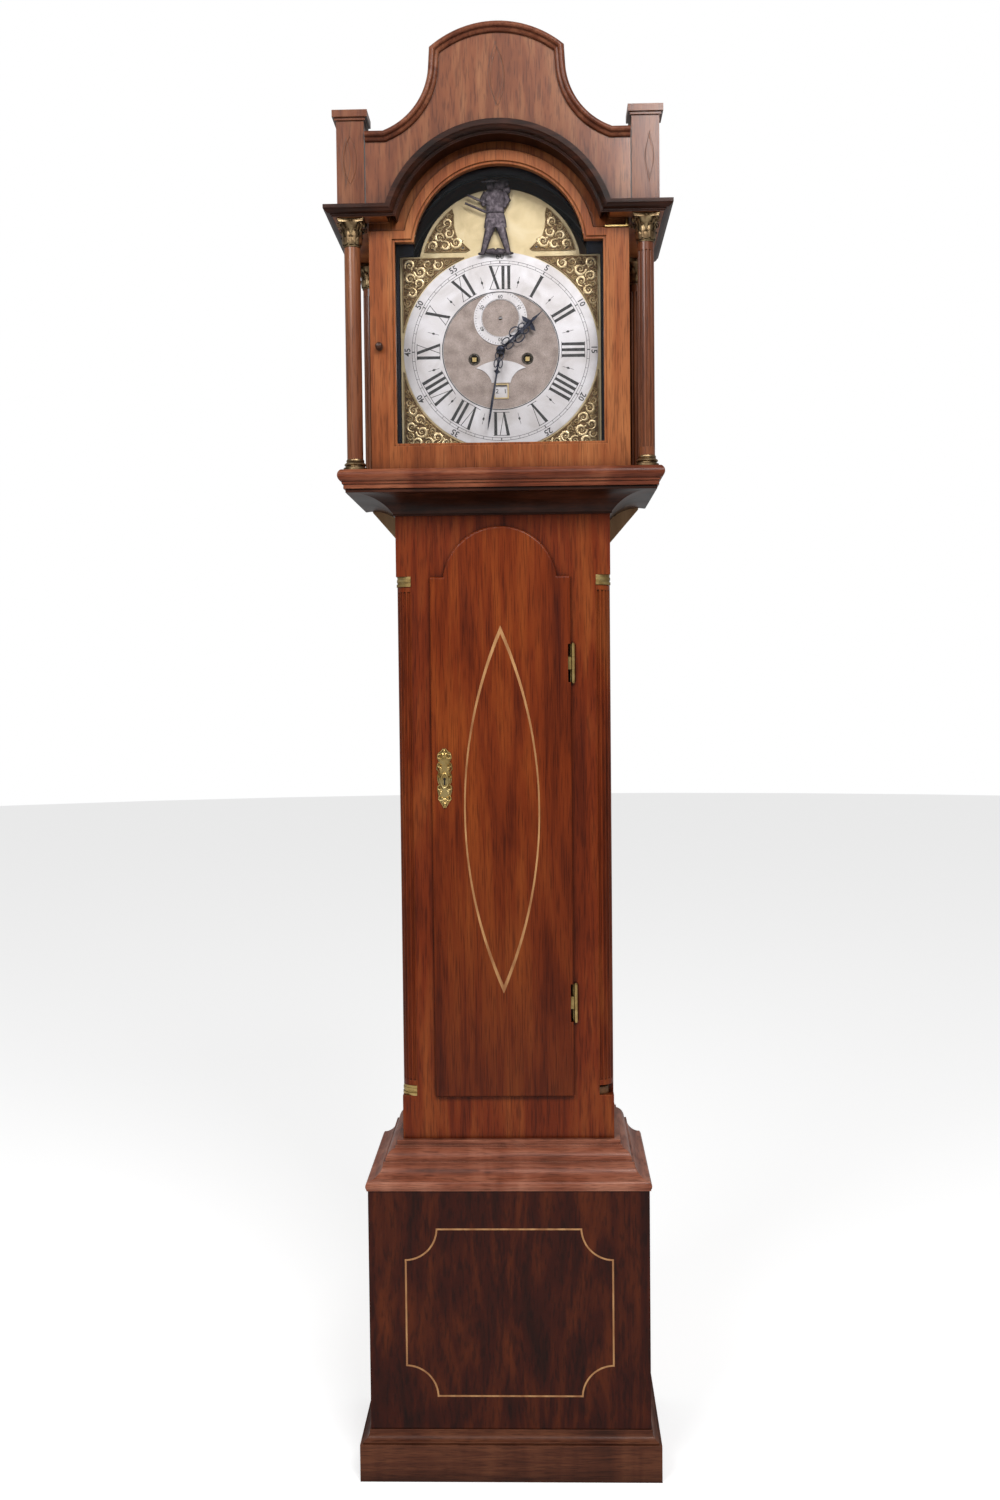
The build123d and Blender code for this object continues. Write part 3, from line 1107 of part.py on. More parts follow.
def make_train():
    cx, cz = 0.0, dial_centre_z
    third_x, third_z = third_place()
    bore = winding_radius + pivot_play

    great_module = 2 * great_distance / (great_teeth + centre_leaves)
    to_centre = atan2(cz - winding_z(), cx - winding_x)
    great = wheel_face(great_teeth, great_module, to_centre, winding_x, winding_z(), 14, bore)
    save("going_great_wheel", plate_at(great, great_wheel_near, great_plate))

    toward_third = atan2(third_z - cz, third_x - cx)
    centre = wheel_face(centre_teeth, centre_module, toward_third, cx, cz, 7, arbor)
    leaves = pinion_face(centre_leaves, great_module, facing_gap(centre_leaves, to_centre + pi), cx, cz)
    shaft = rod(cx, cz, back_plate_depth - 3, minute_hand_near + hand_thickness + 2, arbor)
    shaft += plate_at(leaves, great_wheel_near - 2, great_plate + 4)
    motion_module = 2 * motion_distance / (cannon_teeth + minute_teeth)
    cannon = wheel_face(cannon_teeth, motion_module, -pi / 2, cx, cz, 6, arbor)
    save("centre_arbor", shaft, plate_at(centre, centre_wheel_near, wheel_plate),
         plate_at(cannon, motion_near, motion_plate))

    toward_escape = atan2(seconds_z - third_z, -third_x)
    third = plate_at(wheel_face(third_teeth, third_module, toward_escape, third_x, third_z, 6),
                     third_wheel_near, wheel_plate)
    leaves = pinion_face(third_leaves, centre_module, facing_gap(third_leaves, toward_third + pi),
                         third_x, third_z)
    third += slab(leaves, train_near + end_shake, great_wheel_near)
    save("third_wheel", third + pivoted(third_x, third_z))

    leaves = pinion_face(escape_leaves, third_module, facing_gap(escape_leaves, toward_escape + pi),
                         0, seconds_z)
    escape = plate_at(leaves, third_wheel_near - 4, pinion_length) + pivoted(0, seconds_z, 1.6)
    save("escape_wheel", escape + plate_at(escape_outline(), escape_wheel_near, wheel_plate))

    wheel_z, stud_bore = cz - motion_distance, motion_stud + pivot_play
    minute = wheel_face(minute_teeth, motion_module, facing_gap(minute_teeth, pi / 2), cx, wheel_z, 6,
                        stud_bore)
    hour_module = 2 * motion_distance / (hour_teeth + minute_leaves)
    leaves = pinion_face(minute_leaves, hour_module, facing_gap(minute_leaves, pi / 2), cx, wheel_z,
                         stud_bore)
    pinion_far = hour_wheel_near + motion_plate + 1.5
    save("minute_wheel", plate_at(minute, motion_near, motion_plate)
         + slab(leaves, motion_near + motion_plate, pinion_far))
    pipe = disc(cx, cz, pipe_radius) - disc(cx, cz, arbor + pivot_play)
    hour = wheel_face(hour_teeth, hour_module, -pi / 2, cx, cz, 8, pipe_radius)
    save("hour_wheel", plate_at(hour, hour_wheel_near, motion_plate)
         + slab(pipe, hour_wheel_near - 1.5, pipe_end))

    save("going_barrel", winding_barrel(winding_x))
    save("strike_barrel", winding_barrel(-winding_x))

    px, pz = pin_place()
    toward_pin = atan2(pz - winding_z(), px + winding_x)
    strike = wheel_face(strike_teeth, strike_module, toward_pin, -winding_x, winding_z(), 14, bore)
    save("strike_great_wheel", plate_at(strike, strike_wheel_near, great_plate))
    pins = plate_at(disc(px, pz, pin_wheel_radius) - crossed(px, pz, 6, 13, 3.0), pin_wheel_near, wheel_plate)
    for n in range(lifting_pins):
        angle = 2 * pi * n / lifting_pins
        x, z = px + pin_circle * cos(angle), pz + pin_circle * sin(angle)
        pins += rod(x, z, pin_wheel_near + wheel_plate, pin_wheel_near + wheel_plate + 5, lifting_pin)
    leaves = pinion_face(pin_leaves, strike_module, facing_gap(pin_leaves, toward_pin + pi), px, pz)
    pins += slab(leaves, strike_wheel_near - 3, front_plate_depth - end_shake)
    save("pin_wheel", pins + pivoted(px, pz))


def line_depth():
    """Depth of both weight lines, in the middle of the barrels."""
    return barrel_near + barrel_length / 2


def winding_barrel(x):
    """A barrel with grooves for the gut, flanges and an arbor squared for the key."""
    far, z = barrel_near + barrel_length, winding_z()
    drum_radius = barrel_radius - line_radius - touch_gap
    drum = rod(x, z, barrel_near + barrel_flange, far - barrel_flange, drum_radius)
    drum += rod(x, z, barrel_near, barrel_near + barrel_flange, flange_radius)
    drum += rod(x, z, far - barrel_flange, far, flange_radius)
    groove_count = 9
    margin, depth_of_groove = 6.0, 0.7
    for n in range(groove_count):
        middle = barrel_near + margin + n * (barrel_length - 2 * margin) / (groove_count - 1)
        ring = disc(x, z, drum_radius + 1) - disc(x, z, drum_radius - depth_of_groove)
        drum -= slab(ring, middle - line_radius, middle + line_radius)
    bar = rod(x, z, back_plate_depth - 2, frame_far + 10, winding_radius)
    square = Pos(x, z) * Rectangle(winding_square, winding_square)
    return drum + bar + slab(square, frame_far + 8, dial_front - 1.5)


def escape_outline():
    """Escape wheel with pointed, forward-leaning teeth."""
    points, root = [], escape_radius - 4
    pitch = 2 * pi / escape_teeth
    for n in range(escape_teeth):
        for r, part in ((root, -0.32), (escape_radius, 0.0), (escape_radius, 0.08), (root, 0.2)):
            angle = (n + part) * pitch
            points.append((r * cos(angle), seconds_z + r * sin(angle)))
    return shape(*points) - crossed(0, seconds_z, 5, root - 2.5, 2.4)


# Escapement and pendulum
pendulum_length = 994.0         # a seconds pendulum
bob_radius, bob_half, bob_edge = 58.0, 15.0, 1.2
rod_radius, rod_tail = 2.6, 28.0
cock_half, cheek = 7.0, 2.5     # half depth of the back cock's fork, and its cheeks
crutch_length, crutch_plate, crutch_drop = 120.0, 3.0, 11.0


def make_pallets():
    """Pallets over the escape wheel, and the crutch that takes the pendulum's rod in its fork."""
    reach, band = escape_radius + 1.6, 5.0
    crown = seconds_z + reach
    pallets = disc(0, seconds_z, reach + band) - disc(0, seconds_z, reach)
    pallets &= rect(-17, 17, seconds_z + 8, crown + band)
    pallets += shape((-3, crown + 1), (3, crown + 1), (4, pallet_z), (-4, pallet_z))
    pallets += disc(0, pallet_z, 4.5)
    anchor = slab(pallets, escape_wheel_near - 1, escape_wheel_near + wheel_plate + 1)
    crutch_far = back_plate_depth - crutch_drop
    crutch_near = crutch_far - crutch_plate
    anchor += pivoted(0, pallet_z) + rod(0, pallet_z, crutch_near, back_plate_depth, pivot)

    foot = pallet_z - crutch_length
    crutch = slab(rect(-1.5, 1.5, foot, pallet_z) + disc(0, pallet_z, 4), crutch_near, crutch_far)
    fork = block(-6, 6, crutch_near, crutch_far, foot - 4, foot)
    for sign in (-1, 1):
        low, high = sorted((sign * (rod_radius + 0.7), sign * 6))
        fork += block(low, high, pendulum_depth - 3, crutch_far, foot - 4, foot)
    save("pallet_arbor", anchor + crutch + fork)


def make_pendulum():
    """A bob on a thin rod, hung from a flat spring whose top pin lies in the back cock."""
    bob_z = pallet_z - pendulum_length
    spring_foot, block_height = pallet_z - 40, 14.0
    spring_half = cock_half - cheek - touch_gap
    spring = block(-0.25, 0.25, pendulum_depth - spring_half, pendulum_depth + spring_half,
                   spring_foot, pallet_z)
    pin = rod(0, pallet_z, pendulum_depth - cock_half, pendulum_depth + cock_half, pivot)
    clamp = block(-3, 3, pendulum_depth - 6, pendulum_depth + 6, spring_foot - block_height + 2,
                  spring_foot + 2)
    top, bottom = spring_foot - 5, bob_z - bob_radius - rod_tail
    bar = Pos(0, wall_y - pendulum_depth, (top + bottom) / 2) * Cylinder(rod_radius, top - bottom)
    shoulder = (bob_radius * 0.6, bob_half * 0.62)
    profile = ThreePointArc((0, bob_half), shoulder, (bob_radius, bob_edge))
    profile += Line((bob_radius, bob_edge), (bob_radius, -bob_edge))
    profile += ThreePointArc((bob_radius, -bob_edge), (shoulder[0], -shoulder[1]), (0, -bob_half))
    profile += Line((0, -bob_half), (0, bob_half))
    centre = Plane(origin=(0, wall_y - pendulum_depth, bob_z), x_dir=(1, 0, 0), z_dir=(0, 0, 1))
    bob = revolve(centre * make_face(profile), axis=Axis((0, 0, bob_z), (0, 1, 0)))
    nut = Pos(0, wall_y - pendulum_depth, bob_z - bob_radius - 12) * Cylinder(9, 8)
    save("pendulum", spring + pin + clamp + bar, bob - bar, nut - bar)


def make_hammer():
    """A hammer beside the bell, with a tail that lies over the pin wheel."""
    px, pz = pin_place()
    arm_thickness, head_x, head_z = 3.0, -bell_radius - 6.8, bell_z + 6
    arm_near = bell_depth - 4
    arm = shape((hammer_x - 3, hammer_z), (hammer_x + 3, hammer_z), (head_x + 1.2, head_z + 2),
                (head_x - 1.8, head_z + 2))
    hammer = plate_at(arm + disc(hammer_x, hammer_z, 5), arm_near, arm_thickness)
    head = Pos(head_x, head_z) * Rectangle(11, 9)
    hammer += plate_at(head, arm_near - 3, arm_thickness + 6)
    tail_z = pz + pin_circle + lifting_pin + 1.2
    tail = shape((hammer_x - 2, hammer_z - 2), (hammer_x + 2, hammer_z + 2), (px + 2, tail_z + 2.5),
                 (px, tail_z))
    hammer += slab(tail, pin_wheel_near + wheel_plate + 1, arm_near + 1)
    save("bell_hammer", hammer + pivoted(hammer_x, hammer_z))


# Weights and lines
weight_radius, weight_height, weight_bottom, weight_edge = 30.0, 190.0, 92.0, 2.0
pulley_radius, pulley_half, pulley_rim, pulley_axle = 20.0, 6.0, 3.0, 2.0
stirrup_plate, stirrup_gap = 2.5, 1.0


def make_weight(name, line_name, x):
    """A weight run down to the foot of the case, hung from a pulley on a doubled line."""
    run = pulley_radius + line_radius
    middle = x - barrel_radius + run
    place = Pos(middle, wall_y - line_depth(), 0)
    top = weight_bottom + weight_height
    body = turned([(weight_radius - weight_edge, weight_bottom), (weight_radius, weight_bottom + weight_edge),
                   (weight_radius, top - weight_edge), (weight_radius - weight_edge, top)])
    axle_z, foot = top + pulley_radius + 16, top + 8
    stirrup_height = axle_z + 6 - foot
    span = 2 * (pulley_half + stirrup_gap + stirrup_plate)
    stirrup = Pos(0, 0, top + 4) * Cylinder(4, 8) + Pos(0, 0, foot + 1) * Box(8, span, 3)
    for side in (-1, 1):
        plate = Pos(0, side * (span - stirrup_plate) / 2, foot + stirrup_height / 2)
        stirrup += plate * Box(8, stirrup_plate, stirrup_height)
    across = Pos(0, 0, axle_z) * Rot(90, 0, 0)
    stirrup += across * Cylinder(pulley_axle, span)
    pulley = across * (Cylinder(pulley_radius + pulley_rim, 2 * pulley_half) - Cylinder(pulley_axle, span))
    pulley -= across * (Cylinder(pulley_radius + pulley_rim + 1, 3) - Cylinder(pulley_radius, 3))
    save(name, place * (body + stirrup), place * pulley)

    section = Pos(run, 0, axle_z) * Circle(line_radius)
    line = revolve(section, axis=Axis((0, 0, axle_z), (0, 1, 0)), revolution_arc=180)
    for side in (-1, 1):
        line += Pos(side * run, 0, (axle_z + cheek_top) / 2) * Cylinder(line_radius, cheek_top - axle_z)
    save(line_name, place * line)


make_base()
make_trunk()
make_trunk_door()
make_hood()
make_hood_door()
make_dial()
make_figure()
make_frame()
make_train()
make_pallets()
make_pendulum()
make_hammer()
make_weight("going_weight", "going_line", winding_x)
make_weight("strike_weight", "strike_line", -winding_x)
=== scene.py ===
"""Dresses a longcase clock: woods, brass, silvering, glass, castings, hands and the arch's figure.

The frame is in metres: X to the right, Y away from the viewer, Z up from the floor. Sizes of pieces are
in millimetres, as on a bench drawing, and a depth is a distance in front of the wall.
"""
from math import atan2, cos, degrees, hypot, pi, radians, sin, sqrt

import bmesh
import bpy
from mathutils import Matrix, Vector


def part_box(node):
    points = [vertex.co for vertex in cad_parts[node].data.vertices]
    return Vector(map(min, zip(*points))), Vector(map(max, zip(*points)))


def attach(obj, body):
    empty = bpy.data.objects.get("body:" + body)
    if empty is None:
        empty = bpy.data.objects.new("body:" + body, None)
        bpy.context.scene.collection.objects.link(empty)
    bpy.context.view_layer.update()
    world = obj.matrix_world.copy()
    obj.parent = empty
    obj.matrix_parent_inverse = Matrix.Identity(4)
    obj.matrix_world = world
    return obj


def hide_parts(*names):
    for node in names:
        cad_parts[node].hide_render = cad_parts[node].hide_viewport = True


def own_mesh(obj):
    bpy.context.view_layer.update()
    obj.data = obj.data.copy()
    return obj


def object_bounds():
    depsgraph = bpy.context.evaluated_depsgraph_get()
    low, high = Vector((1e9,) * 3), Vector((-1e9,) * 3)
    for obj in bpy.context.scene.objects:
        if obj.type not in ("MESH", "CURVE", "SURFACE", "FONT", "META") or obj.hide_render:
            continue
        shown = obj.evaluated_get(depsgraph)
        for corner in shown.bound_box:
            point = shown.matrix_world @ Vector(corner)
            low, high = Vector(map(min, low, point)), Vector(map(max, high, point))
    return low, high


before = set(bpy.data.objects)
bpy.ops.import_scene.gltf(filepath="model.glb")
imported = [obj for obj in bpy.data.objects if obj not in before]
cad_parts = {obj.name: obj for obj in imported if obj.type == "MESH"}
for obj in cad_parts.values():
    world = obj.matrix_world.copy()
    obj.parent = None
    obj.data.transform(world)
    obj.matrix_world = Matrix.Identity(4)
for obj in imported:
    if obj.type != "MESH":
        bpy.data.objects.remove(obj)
cad_low, cad_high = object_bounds()
scene = bpy.context.scene
mm = 0.001

# The viewpoint. A viewer's eye is about 2.2 m in front of the clock at chest height, a little to the
# right of its middle, and looks slightly down. The lens is given in pixels of a picture 1500 high.
eye = Vector((58, -2349, 1199)) * mm
yaw, pitch, roll = radians(1.63), radians(-2.54), radians(-0.60)
lens_pixels, picture_height = 1516, 1500
level = Vector((cos(yaw), sin(yaw), 0))
ahead = Vector((-sin(yaw), cos(yaw), 0))
upright = Vector((0, 0, 1))
forward = cos(pitch) * ahead + sin(pitch) * upright
top = cos(pitch) * upright - sin(pitch) * ahead
right = cos(roll) * level + sin(roll) * top
top = cos(roll) * top - sin(roll) * level
camera = bpy.data.cameras.new("camera")
camera.lens = camera.sensor_width * lens_pixels / picture_height
camera.clip_start = 0.05
camera = bpy.data.objects.new("camera", camera)
camera.matrix_world = Matrix.Translation(eye) @ Matrix((right, top, -forward)).transposed().to_4x4()
scene.collection.objects.link(camera)
scene.camera = camera
scene.view_settings.view_transform = "Standard"


# The room. A pale floor in a white surround, lit by a large lamp on the left and by a window high on the
# right, whose reflection falls on the cresting and the right block.
def put(tree, socket, value):
    """Links a socket to another or gives it a plain value."""
    if isinstance(value, bpy.types.NodeSocket):
        tree.links.new(value, socket)
    else:
        socket.default_value = value


def add(tree, kind, settings=(), **sockets):
    """A shader node with its settings, and its sockets by name with _ for a space."""
    made = tree.nodes.new("ShaderNode" + kind)
    for key, value in settings:
        setattr(made, key, value)
    for key, value in sockets.items():
        put(tree, made.inputs[key.replace("_", " ")], value)
    return made


def calc(tree, operation, *values):
    """The result of one sum."""
    made = add(tree, "Math", [("operation", operation)])
    for socket, value in zip(made.inputs, values):
        put(tree, socket, value)
    return made.outputs[0]


def grey(value):
    return (value, value, value, 1)


world = bpy.data.worlds.new("surround")
world.use_nodes = True
scene.world = world
tree = world.node_tree
path = add(tree, "LightPath").outputs
seen = calc(tree, "MAXIMUM", path["Is Camera Ray"], path["Is Transmission Ray"])
direction = add(tree, "SeparateXYZ", Vector=add(tree, "TexCoord").outputs["Generated"]).outputs
room_light = calc(tree, "MULTIPLY_ADD", direction["Z"], 0.18, 0.26)
background = tree.nodes["Background"].inputs
put(tree, background["Strength"], calc(tree, "MAXIMUM", room_light, seen))
put(tree, background["Color"], grey(1))

bm = bmesh.new()
bmesh.ops.create_circle(bm, cap_ends=True, radius=14, segments=64)
mesh = bpy.data.meshes.new("floor")
bm.to_mesh(mesh)
bm.free()
floor = bpy.data.objects.new("floor", mesh)
scene.collection.objects.link(floor)
pale = bpy.data.materials.new("pale_floor")
pale.use_nodes = True
tree = pale.node_tree
shader = tree.nodes["Principled BSDF"].inputs
put(tree, shader["Base Color"], grey(0.80))
put(tree, shader["Roughness"], 0.9)
put(tree, shader["Emission Color"], grey(1))
glow = calc(tree, "MULTIPLY", add(tree, "LightPath").outputs["Is Camera Ray"], 0.5)
put(tree, shader["Emission Strength"], glow)
mesh.materials.append(pale)

for name, place, aim, size, power in (
        ("key", (-1.3, -2.3, 3.0), (0, 0, 2.0), 1.3, 46),
        ("window", (1.0, -2.9, 3.55), (0.1, -0.1, 2.1), 1.4, 92)):
    lamp = bpy.data.lights.new(name, "AREA")
    lamp.size = size
    lamp.energy = power
    holder = bpy.data.objects.new(name, lamp)
    holder.location = place
    holder.rotation_euler = (Vector(aim) - Vector(place)).to_track_quat("-Z", "Y").to_euler()
    scene.collection.objects.link(holder)


# Backboard and seatboard. Planed pine boards, glued and nailed behind the show wood and left bare.
# They have gone brown, with faint grain up their length.
def ramp(tree, share, *stops):
    """A colour from stops, each (place, colour)."""
    made = add(tree, "ValToRGB", Fac=share)
    points = made.color_ramp.elements
    for place, _ in stops[2:]:
        points.new(place)
    for point, (place, colour) in zip(points, sorted(stops)):
        point.position = place
        point.color = (*colour, 1)
    return made.outputs["Color"]


def finish(name, roughness=0.5, metal=0.0):
    """A new material with its node tree and the sockets of its shader."""
    made = bpy.data.materials.new(name)
    made.use_nodes = True
    shader = made.node_tree.nodes["Principled BSDF"].inputs
    shader["Roughness"].default_value = roughness
    shader["Metallic"].default_value = metal
    return made, made.node_tree, shader


def mapped(tree, scale=(1, 1, 1), centre=(0, 0, 0)):
    """Object coordinates, moved to a centre in metres and then stretched."""
    place = add(tree, "VectorMath", [("operation", "SUBTRACT")])
    put(tree, place.inputs[0], add(tree, "TexCoord").outputs["Object"])
    put(tree, place.inputs[1], centre)
    stretch = add(tree, "VectorMath", [("operation", "MULTIPLY")])
    put(tree, stretch.inputs[0], place.outputs[0])
    put(tree, stretch.inputs[1], scale)
    return stretch.outputs[0]


def noise(tree, stretch, detail=4.0, distortion=0.0):
    """Soft noise; stretch is how many of its cells go to a metre on each axis."""
    if not isinstance(stretch, tuple):
        stretch = (stretch, stretch, stretch)
    made = add(tree, "TexNoise", Vector=mapped(tree, stretch), Scale=1.0, Detail=detail,
               Distortion=distortion)
    return made.outputs["Fac"]


def bump(tree, height, depth, normal=None):
    """A bump as deep as depth, in metres, where height goes from 0 to 1."""
    made = add(tree, "Bump", Height=height, Distance=depth, Strength=1.0)
    if normal is not None:
        put(tree, made.inputs["Normal"], normal)
    return made.outputs["Normal"]


def mottled(name, roughness, stretch, low, high, detail=4, distortion=0.0, depth=0.0):
    """A plain material that drifts between two colour stops, with a bump of that depth."""
    made, tree, shader = finish(name, roughness)
    tone = noise(tree, stretch, detail, distortion)
    put(tree, shader["Base Color"], ramp(tree, tone, low, high))
    if depth:
        put(tree, shader["Normal"], bump(tree, tone, depth))
    return made


def dress(made, *nodes):
    """Gives a material to pieces of the frame."""
    for name in nodes:
        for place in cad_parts[name].material_slots:
            place.material = made


bare_pine = mottled("bare_pine", 0.75, (70, 70, 4), (0.3, (0.33, 0.18, 0.085)), (0.7, (0.48, 0.30, 0.155)),
                    detail=5, distortion=0.6, depth=0.0004)
dress(bare_pine, "backboard", "seatboard")


# Plinth, base and their mouldings. Show wood is mahogany, polished over and over: nearly black flame
# veneer on the base, plain boards on the plinth, and redder mouldings rubbed bright on their edges.
def blend(tree, share, low, high, way="MIX"):
    """A mix of two colours."""
    made = add(tree, "Mix", [("data_type", "RGBA"), ("blend_type", way)])
    for index, value in ((0, share), (6, low), (7, high)):
        put(tree, made.inputs[index], value)
    return made.outputs[2]


def axes(tree):
    """Object coordinates as separate X, Y and Z."""
    return add(tree, "SeparateXYZ", Vector=add(tree, "TexCoord").outputs["Object"]).outputs


def rubbed_edge(tree, rounded):
    """1 on sharp edges, where the rounded normal leaves the true one, and 0 on flat wood."""
    facing = add(tree, "VectorMath", [("operation", "DOT_PRODUCT")])
    put(tree, facing.inputs[0], add(tree, "NewGeometry").outputs["True Normal"])
    put(tree, facing.inputs[1], rounded)
    edge = add(tree, "MapRange", Value=facing.outputs["Value"], From_Min=0.99, From_Max=0.78, To_Max=0.45)
    return calc(tree, "MULTIPLY", edge.outputs[0], noise(tree, 30))


def mahogany(name, dark, mid, light, grain, figure=1.0, gloss=0.30, raw=None, darken_low=0.0, coat=0.06):
    """Polished wood. grain runs along the board, raw is a bare place; a darkening share makes it darker
    towards the bottom.
    """
    made, tree, shader = finish(name)
    bands = noise(tree, grain, 6, 1.2)
    broad = noise(tree, (9, 9, 1.6), 3, 2.2 * figure)
    mix = calc(tree, "MULTIPLY_ADD", broad, 0.55, calc(tree, "MULTIPLY", bands, 0.45))
    colour = ramp(tree, mix, (0.32, dark), (0.48, mid), (0.66, light))
    pores = noise(tree, tuple(9 * value for value in grain), 3)
    pore = ramp(tree, pores, (0.36, (0.45, 0.42, 0.42)), (0.50, (1, 1, 1)))
    colour = blend(tree, 0.7, colour, pore, "MULTIPLY")
    # Painted shade: ambient occlusion darkens the wood in its hollows and soffits.
    hollow = add(tree, "AmbientOcclusion", [("samples", 8)], Distance=0.045).outputs["AO"]
    painted_hollow_shade = ramp(tree, hollow, (0.22, (0.10, 0.07, 0.06)), (0.80, (1, 1, 1)))
    colour = blend(tree, 1.0, colour, painted_hollow_shade, "MULTIPLY")
    rounded = add(tree, "Bevel", [("samples", 4)], Radius=0.0016).outputs["Normal"]
    bright = (*[min(1, 2.3 * value) for value in light], 1)
    colour = blend(tree, rubbed_edge(tree, rounded), colour, bright)
    if raw:
        left_end, upper_end = raw
        beside = calc(tree, "GREATER_THAN", axes(tree)["X"], left_end)
        below = calc(tree, "LESS_THAN", axes(tree)["Z"], upper_end)
        colour = blend(tree, calc(tree, "MULTIPLY", beside, below), colour, (0.16, 0.075, 0.035, 1))
    height = add(tree, "MapRange", Value=axes(tree)["Z"], From_Min=0.45, From_Max=1.05, To_Min=0.55)
    kept = calc(tree, "MAXIMUM", height.outputs[0], 1 - darken_low)
    put(tree, shader["Base Color"], blend(tree, kept, (0, 0, 0, 1), colour))
    rough = add(tree, "MapRange", Value=noise(tree, (14, 14, 6)), To_Min=gloss - 0.06, To_Max=gloss + 0.16)
    put(tree, shader["Roughness"], rough.outputs[0])
    put(tree, shader["Coat Weight"], coat)
    put(tree, shader["Coat Roughness"], 0.14)
    put(tree, shader["Specular IOR Level"], 0.16)
    put(tree, shader["Normal"], bump(tree, pores, 0.00012, rounded))
    return made


lengthwise, crosswise = (55, 55, 3.2), (5, 5, 90)
dress(mahogany("plinth_mahogany", (0.035, 0.010, 0.005), (0.085, 0.024, 0.011), (0.15, 0.05, 0.022),
               crosswise, 0.6, 0.36), "plinth_boards", "plinth_moulding")
dress(mahogany("dark_flame_mahogany", (0.013, 0.002, 0.0005), (0.038, 0.0045, 0.001), (0.10, 0.018, 0.003),
               (26, 26, 5), 2.2), "base_boards")
dress(mahogany("worn_moulded_mahogany", (0.07, 0.018, 0.009), (0.22, 0.065, 0.034), (0.38, 0.15, 0.09),
               crosswise, 0.5, 0.27), "base_moulding")

# Boxwood lines. Thin light strips, let flush into the base's front and the trunk door and polished over,
# so that they have gone the colour of honey.
boxwood = mottled("boxwood_line", 0.4, (90, 90, 20), (0.3, (0.26, 0.10, 0.03)), (0.7, (0.50, 0.26, 0.10)))
dress(boxwood, "base_stringing", "trunk_door_stringing")

# Trunk. Stiles, rails and side boards of plain mahogany. The quarter columns at its corners are turned
# from the same wood, and the lower right one has lost its brass, so that its foot shows raw wood.
trunk_colours = ((0.065, 0.008, 0.0015), (0.15, 0.021, 0.0035), (0.25, 0.058, 0.012))
raw_foot_top = 0.5825
dress(mahogany("trunk_mahogany", *trunk_colours, lengthwise), "trunk_front_frame", "trunk_side_boards")
dress(mahogany("quarter_column_mahogany", *trunk_colours, lengthwise, raw=(0, raw_foot_top)),
      "quarter_columns")

# Trunk door. One board of straight-grained mahogany with a moulded lip, darker towards its foot.
dress(mahogany("trunk_door_mahogany", (0.06, 0.007, 0.0015), (0.16, 0.024, 0.004), (0.25, 0.052, 0.009),
               (60, 60, 2.4), 1.3, 0.26, darken_low=0.45), "trunk_door")


# Brass and steel of the case. Hinges, their leaves, column brasses and the lock are lacquered sheet and
# cast brass, yellow where rubbed and brown in their corners. The bolt is steel.
def brass(name, tarnish, mid, bright, roughness=0.32, scale=60, depth=0.00006, shade_reach=0.006, metal=1.0):
    """Metal with cloudy tarnish, dark in its recesses."""
    made, tree, shader = finish(name, roughness, metal)
    cloud = noise(tree, scale, 5, 0.5)
    colour = ramp(tree, cloud, (0.28, tarnish), (0.5, mid), (0.72, bright))
    hollow = add(tree, "AmbientOcclusion", [("samples", 6)], Distance=shade_reach).outputs["AO"]
    shade = ramp(tree, hollow, (0.25, (0.12, 0.09, 0.07)), (0.85, (1, 1, 1)))
    put(tree, shader["Base Color"], blend(tree, 1.0, colour, shade, "MULTIPLY"))
    put(tree, shader["Roughness"], calc(tree, "MULTIPLY_ADD", cloud, -0.2, roughness + 0.1))
    put(tree, shader["Normal"], bump(tree, noise(tree, 900, 3), depth))
    return made


dress(brass("case_brass", (0.30, 0.19, 0.07), (0.58, 0.40, 0.15), (0.80, 0.61, 0.27)),
      "trunk_brass_fittings", "trunk_door_hinge_leaves", "trunk_door_lock", "hood_door_hinges")
dress(brass("grey_steel", (0.13, 0.13, 0.14), (0.30, 0.30, 0.31), (0.52, 0.52, 0.53), 0.34),
      "trunk_lock_bolt", "pallet_arbor", "bell_hammer")


# Escutcheon of the trunk door. A small cast brass plate of scrolls and leaves, pierced for the key and
# pinned to the door's face. It is drawn about its own middle.
def spot(x, depth, z):
    """A point from millimetres: X, the depth in front of the wall, and the height."""
    return Vector((x * mm, cad_high.y - depth * mm, z * mm))


def joined(whole, bm):
    """Adds a small mesh to a large one; building it apart is much quicker."""
    mesh = bpy.data.meshes.new("small")
    bm.to_mesh(mesh)
    bm.free()
    whole.from_mesh(mesh)
    bpy.data.meshes.remove(mesh)


def skin(whole, rings, closed=False):
    """A closed bar through a row of rings that have as many points each."""
    bm = bmesh.new()
    first = [bm.verts.new(place) for place in rings[0]]
    edges = [bm.edges.new(ends) for ends in zip(first, first[1:] + first[:1])]
    start, order = edges, {vert: n for n, vert in enumerate(first)}
    for ring in rings[1:]:
        made = bmesh.ops.extrude_edge_only(bm, edges=edges)["geom"]
        fresh = {}
        for vert in [item for item in made if isinstance(item, bmesh.types.BMVert)]:
            ends = [edge.other_vert(vert) for edge in vert.link_edges]
            source = next(end for end in ends if end in order)
            fresh[vert] = order[source]
            vert.co = ring[order[source]]
        edges = [item for item in made
                 if isinstance(item, bmesh.types.BMEdge) and all(vert in fresh for vert in item.verts)]
        order = fresh
    if closed:
        bmesh.ops.bridge_loops(bm, edges=start + edges)
    else:
        bmesh.ops.edgeloop_fill(bm, edges=start)
        bmesh.ops.edgeloop_fill(bm, edges=edges)
    joined(whole, bm)


def thicken(bm, faces, offset):
    """Draws faces out by an offset, in metres, into a closed solid."""
    made = bmesh.ops.extrude_face_region(bm, geom=faces)["geom"]
    moved = [item for item in made if isinstance(item, bmesh.types.BMVert)]
    bmesh.ops.translate(bm, verts=moved, vec=offset)


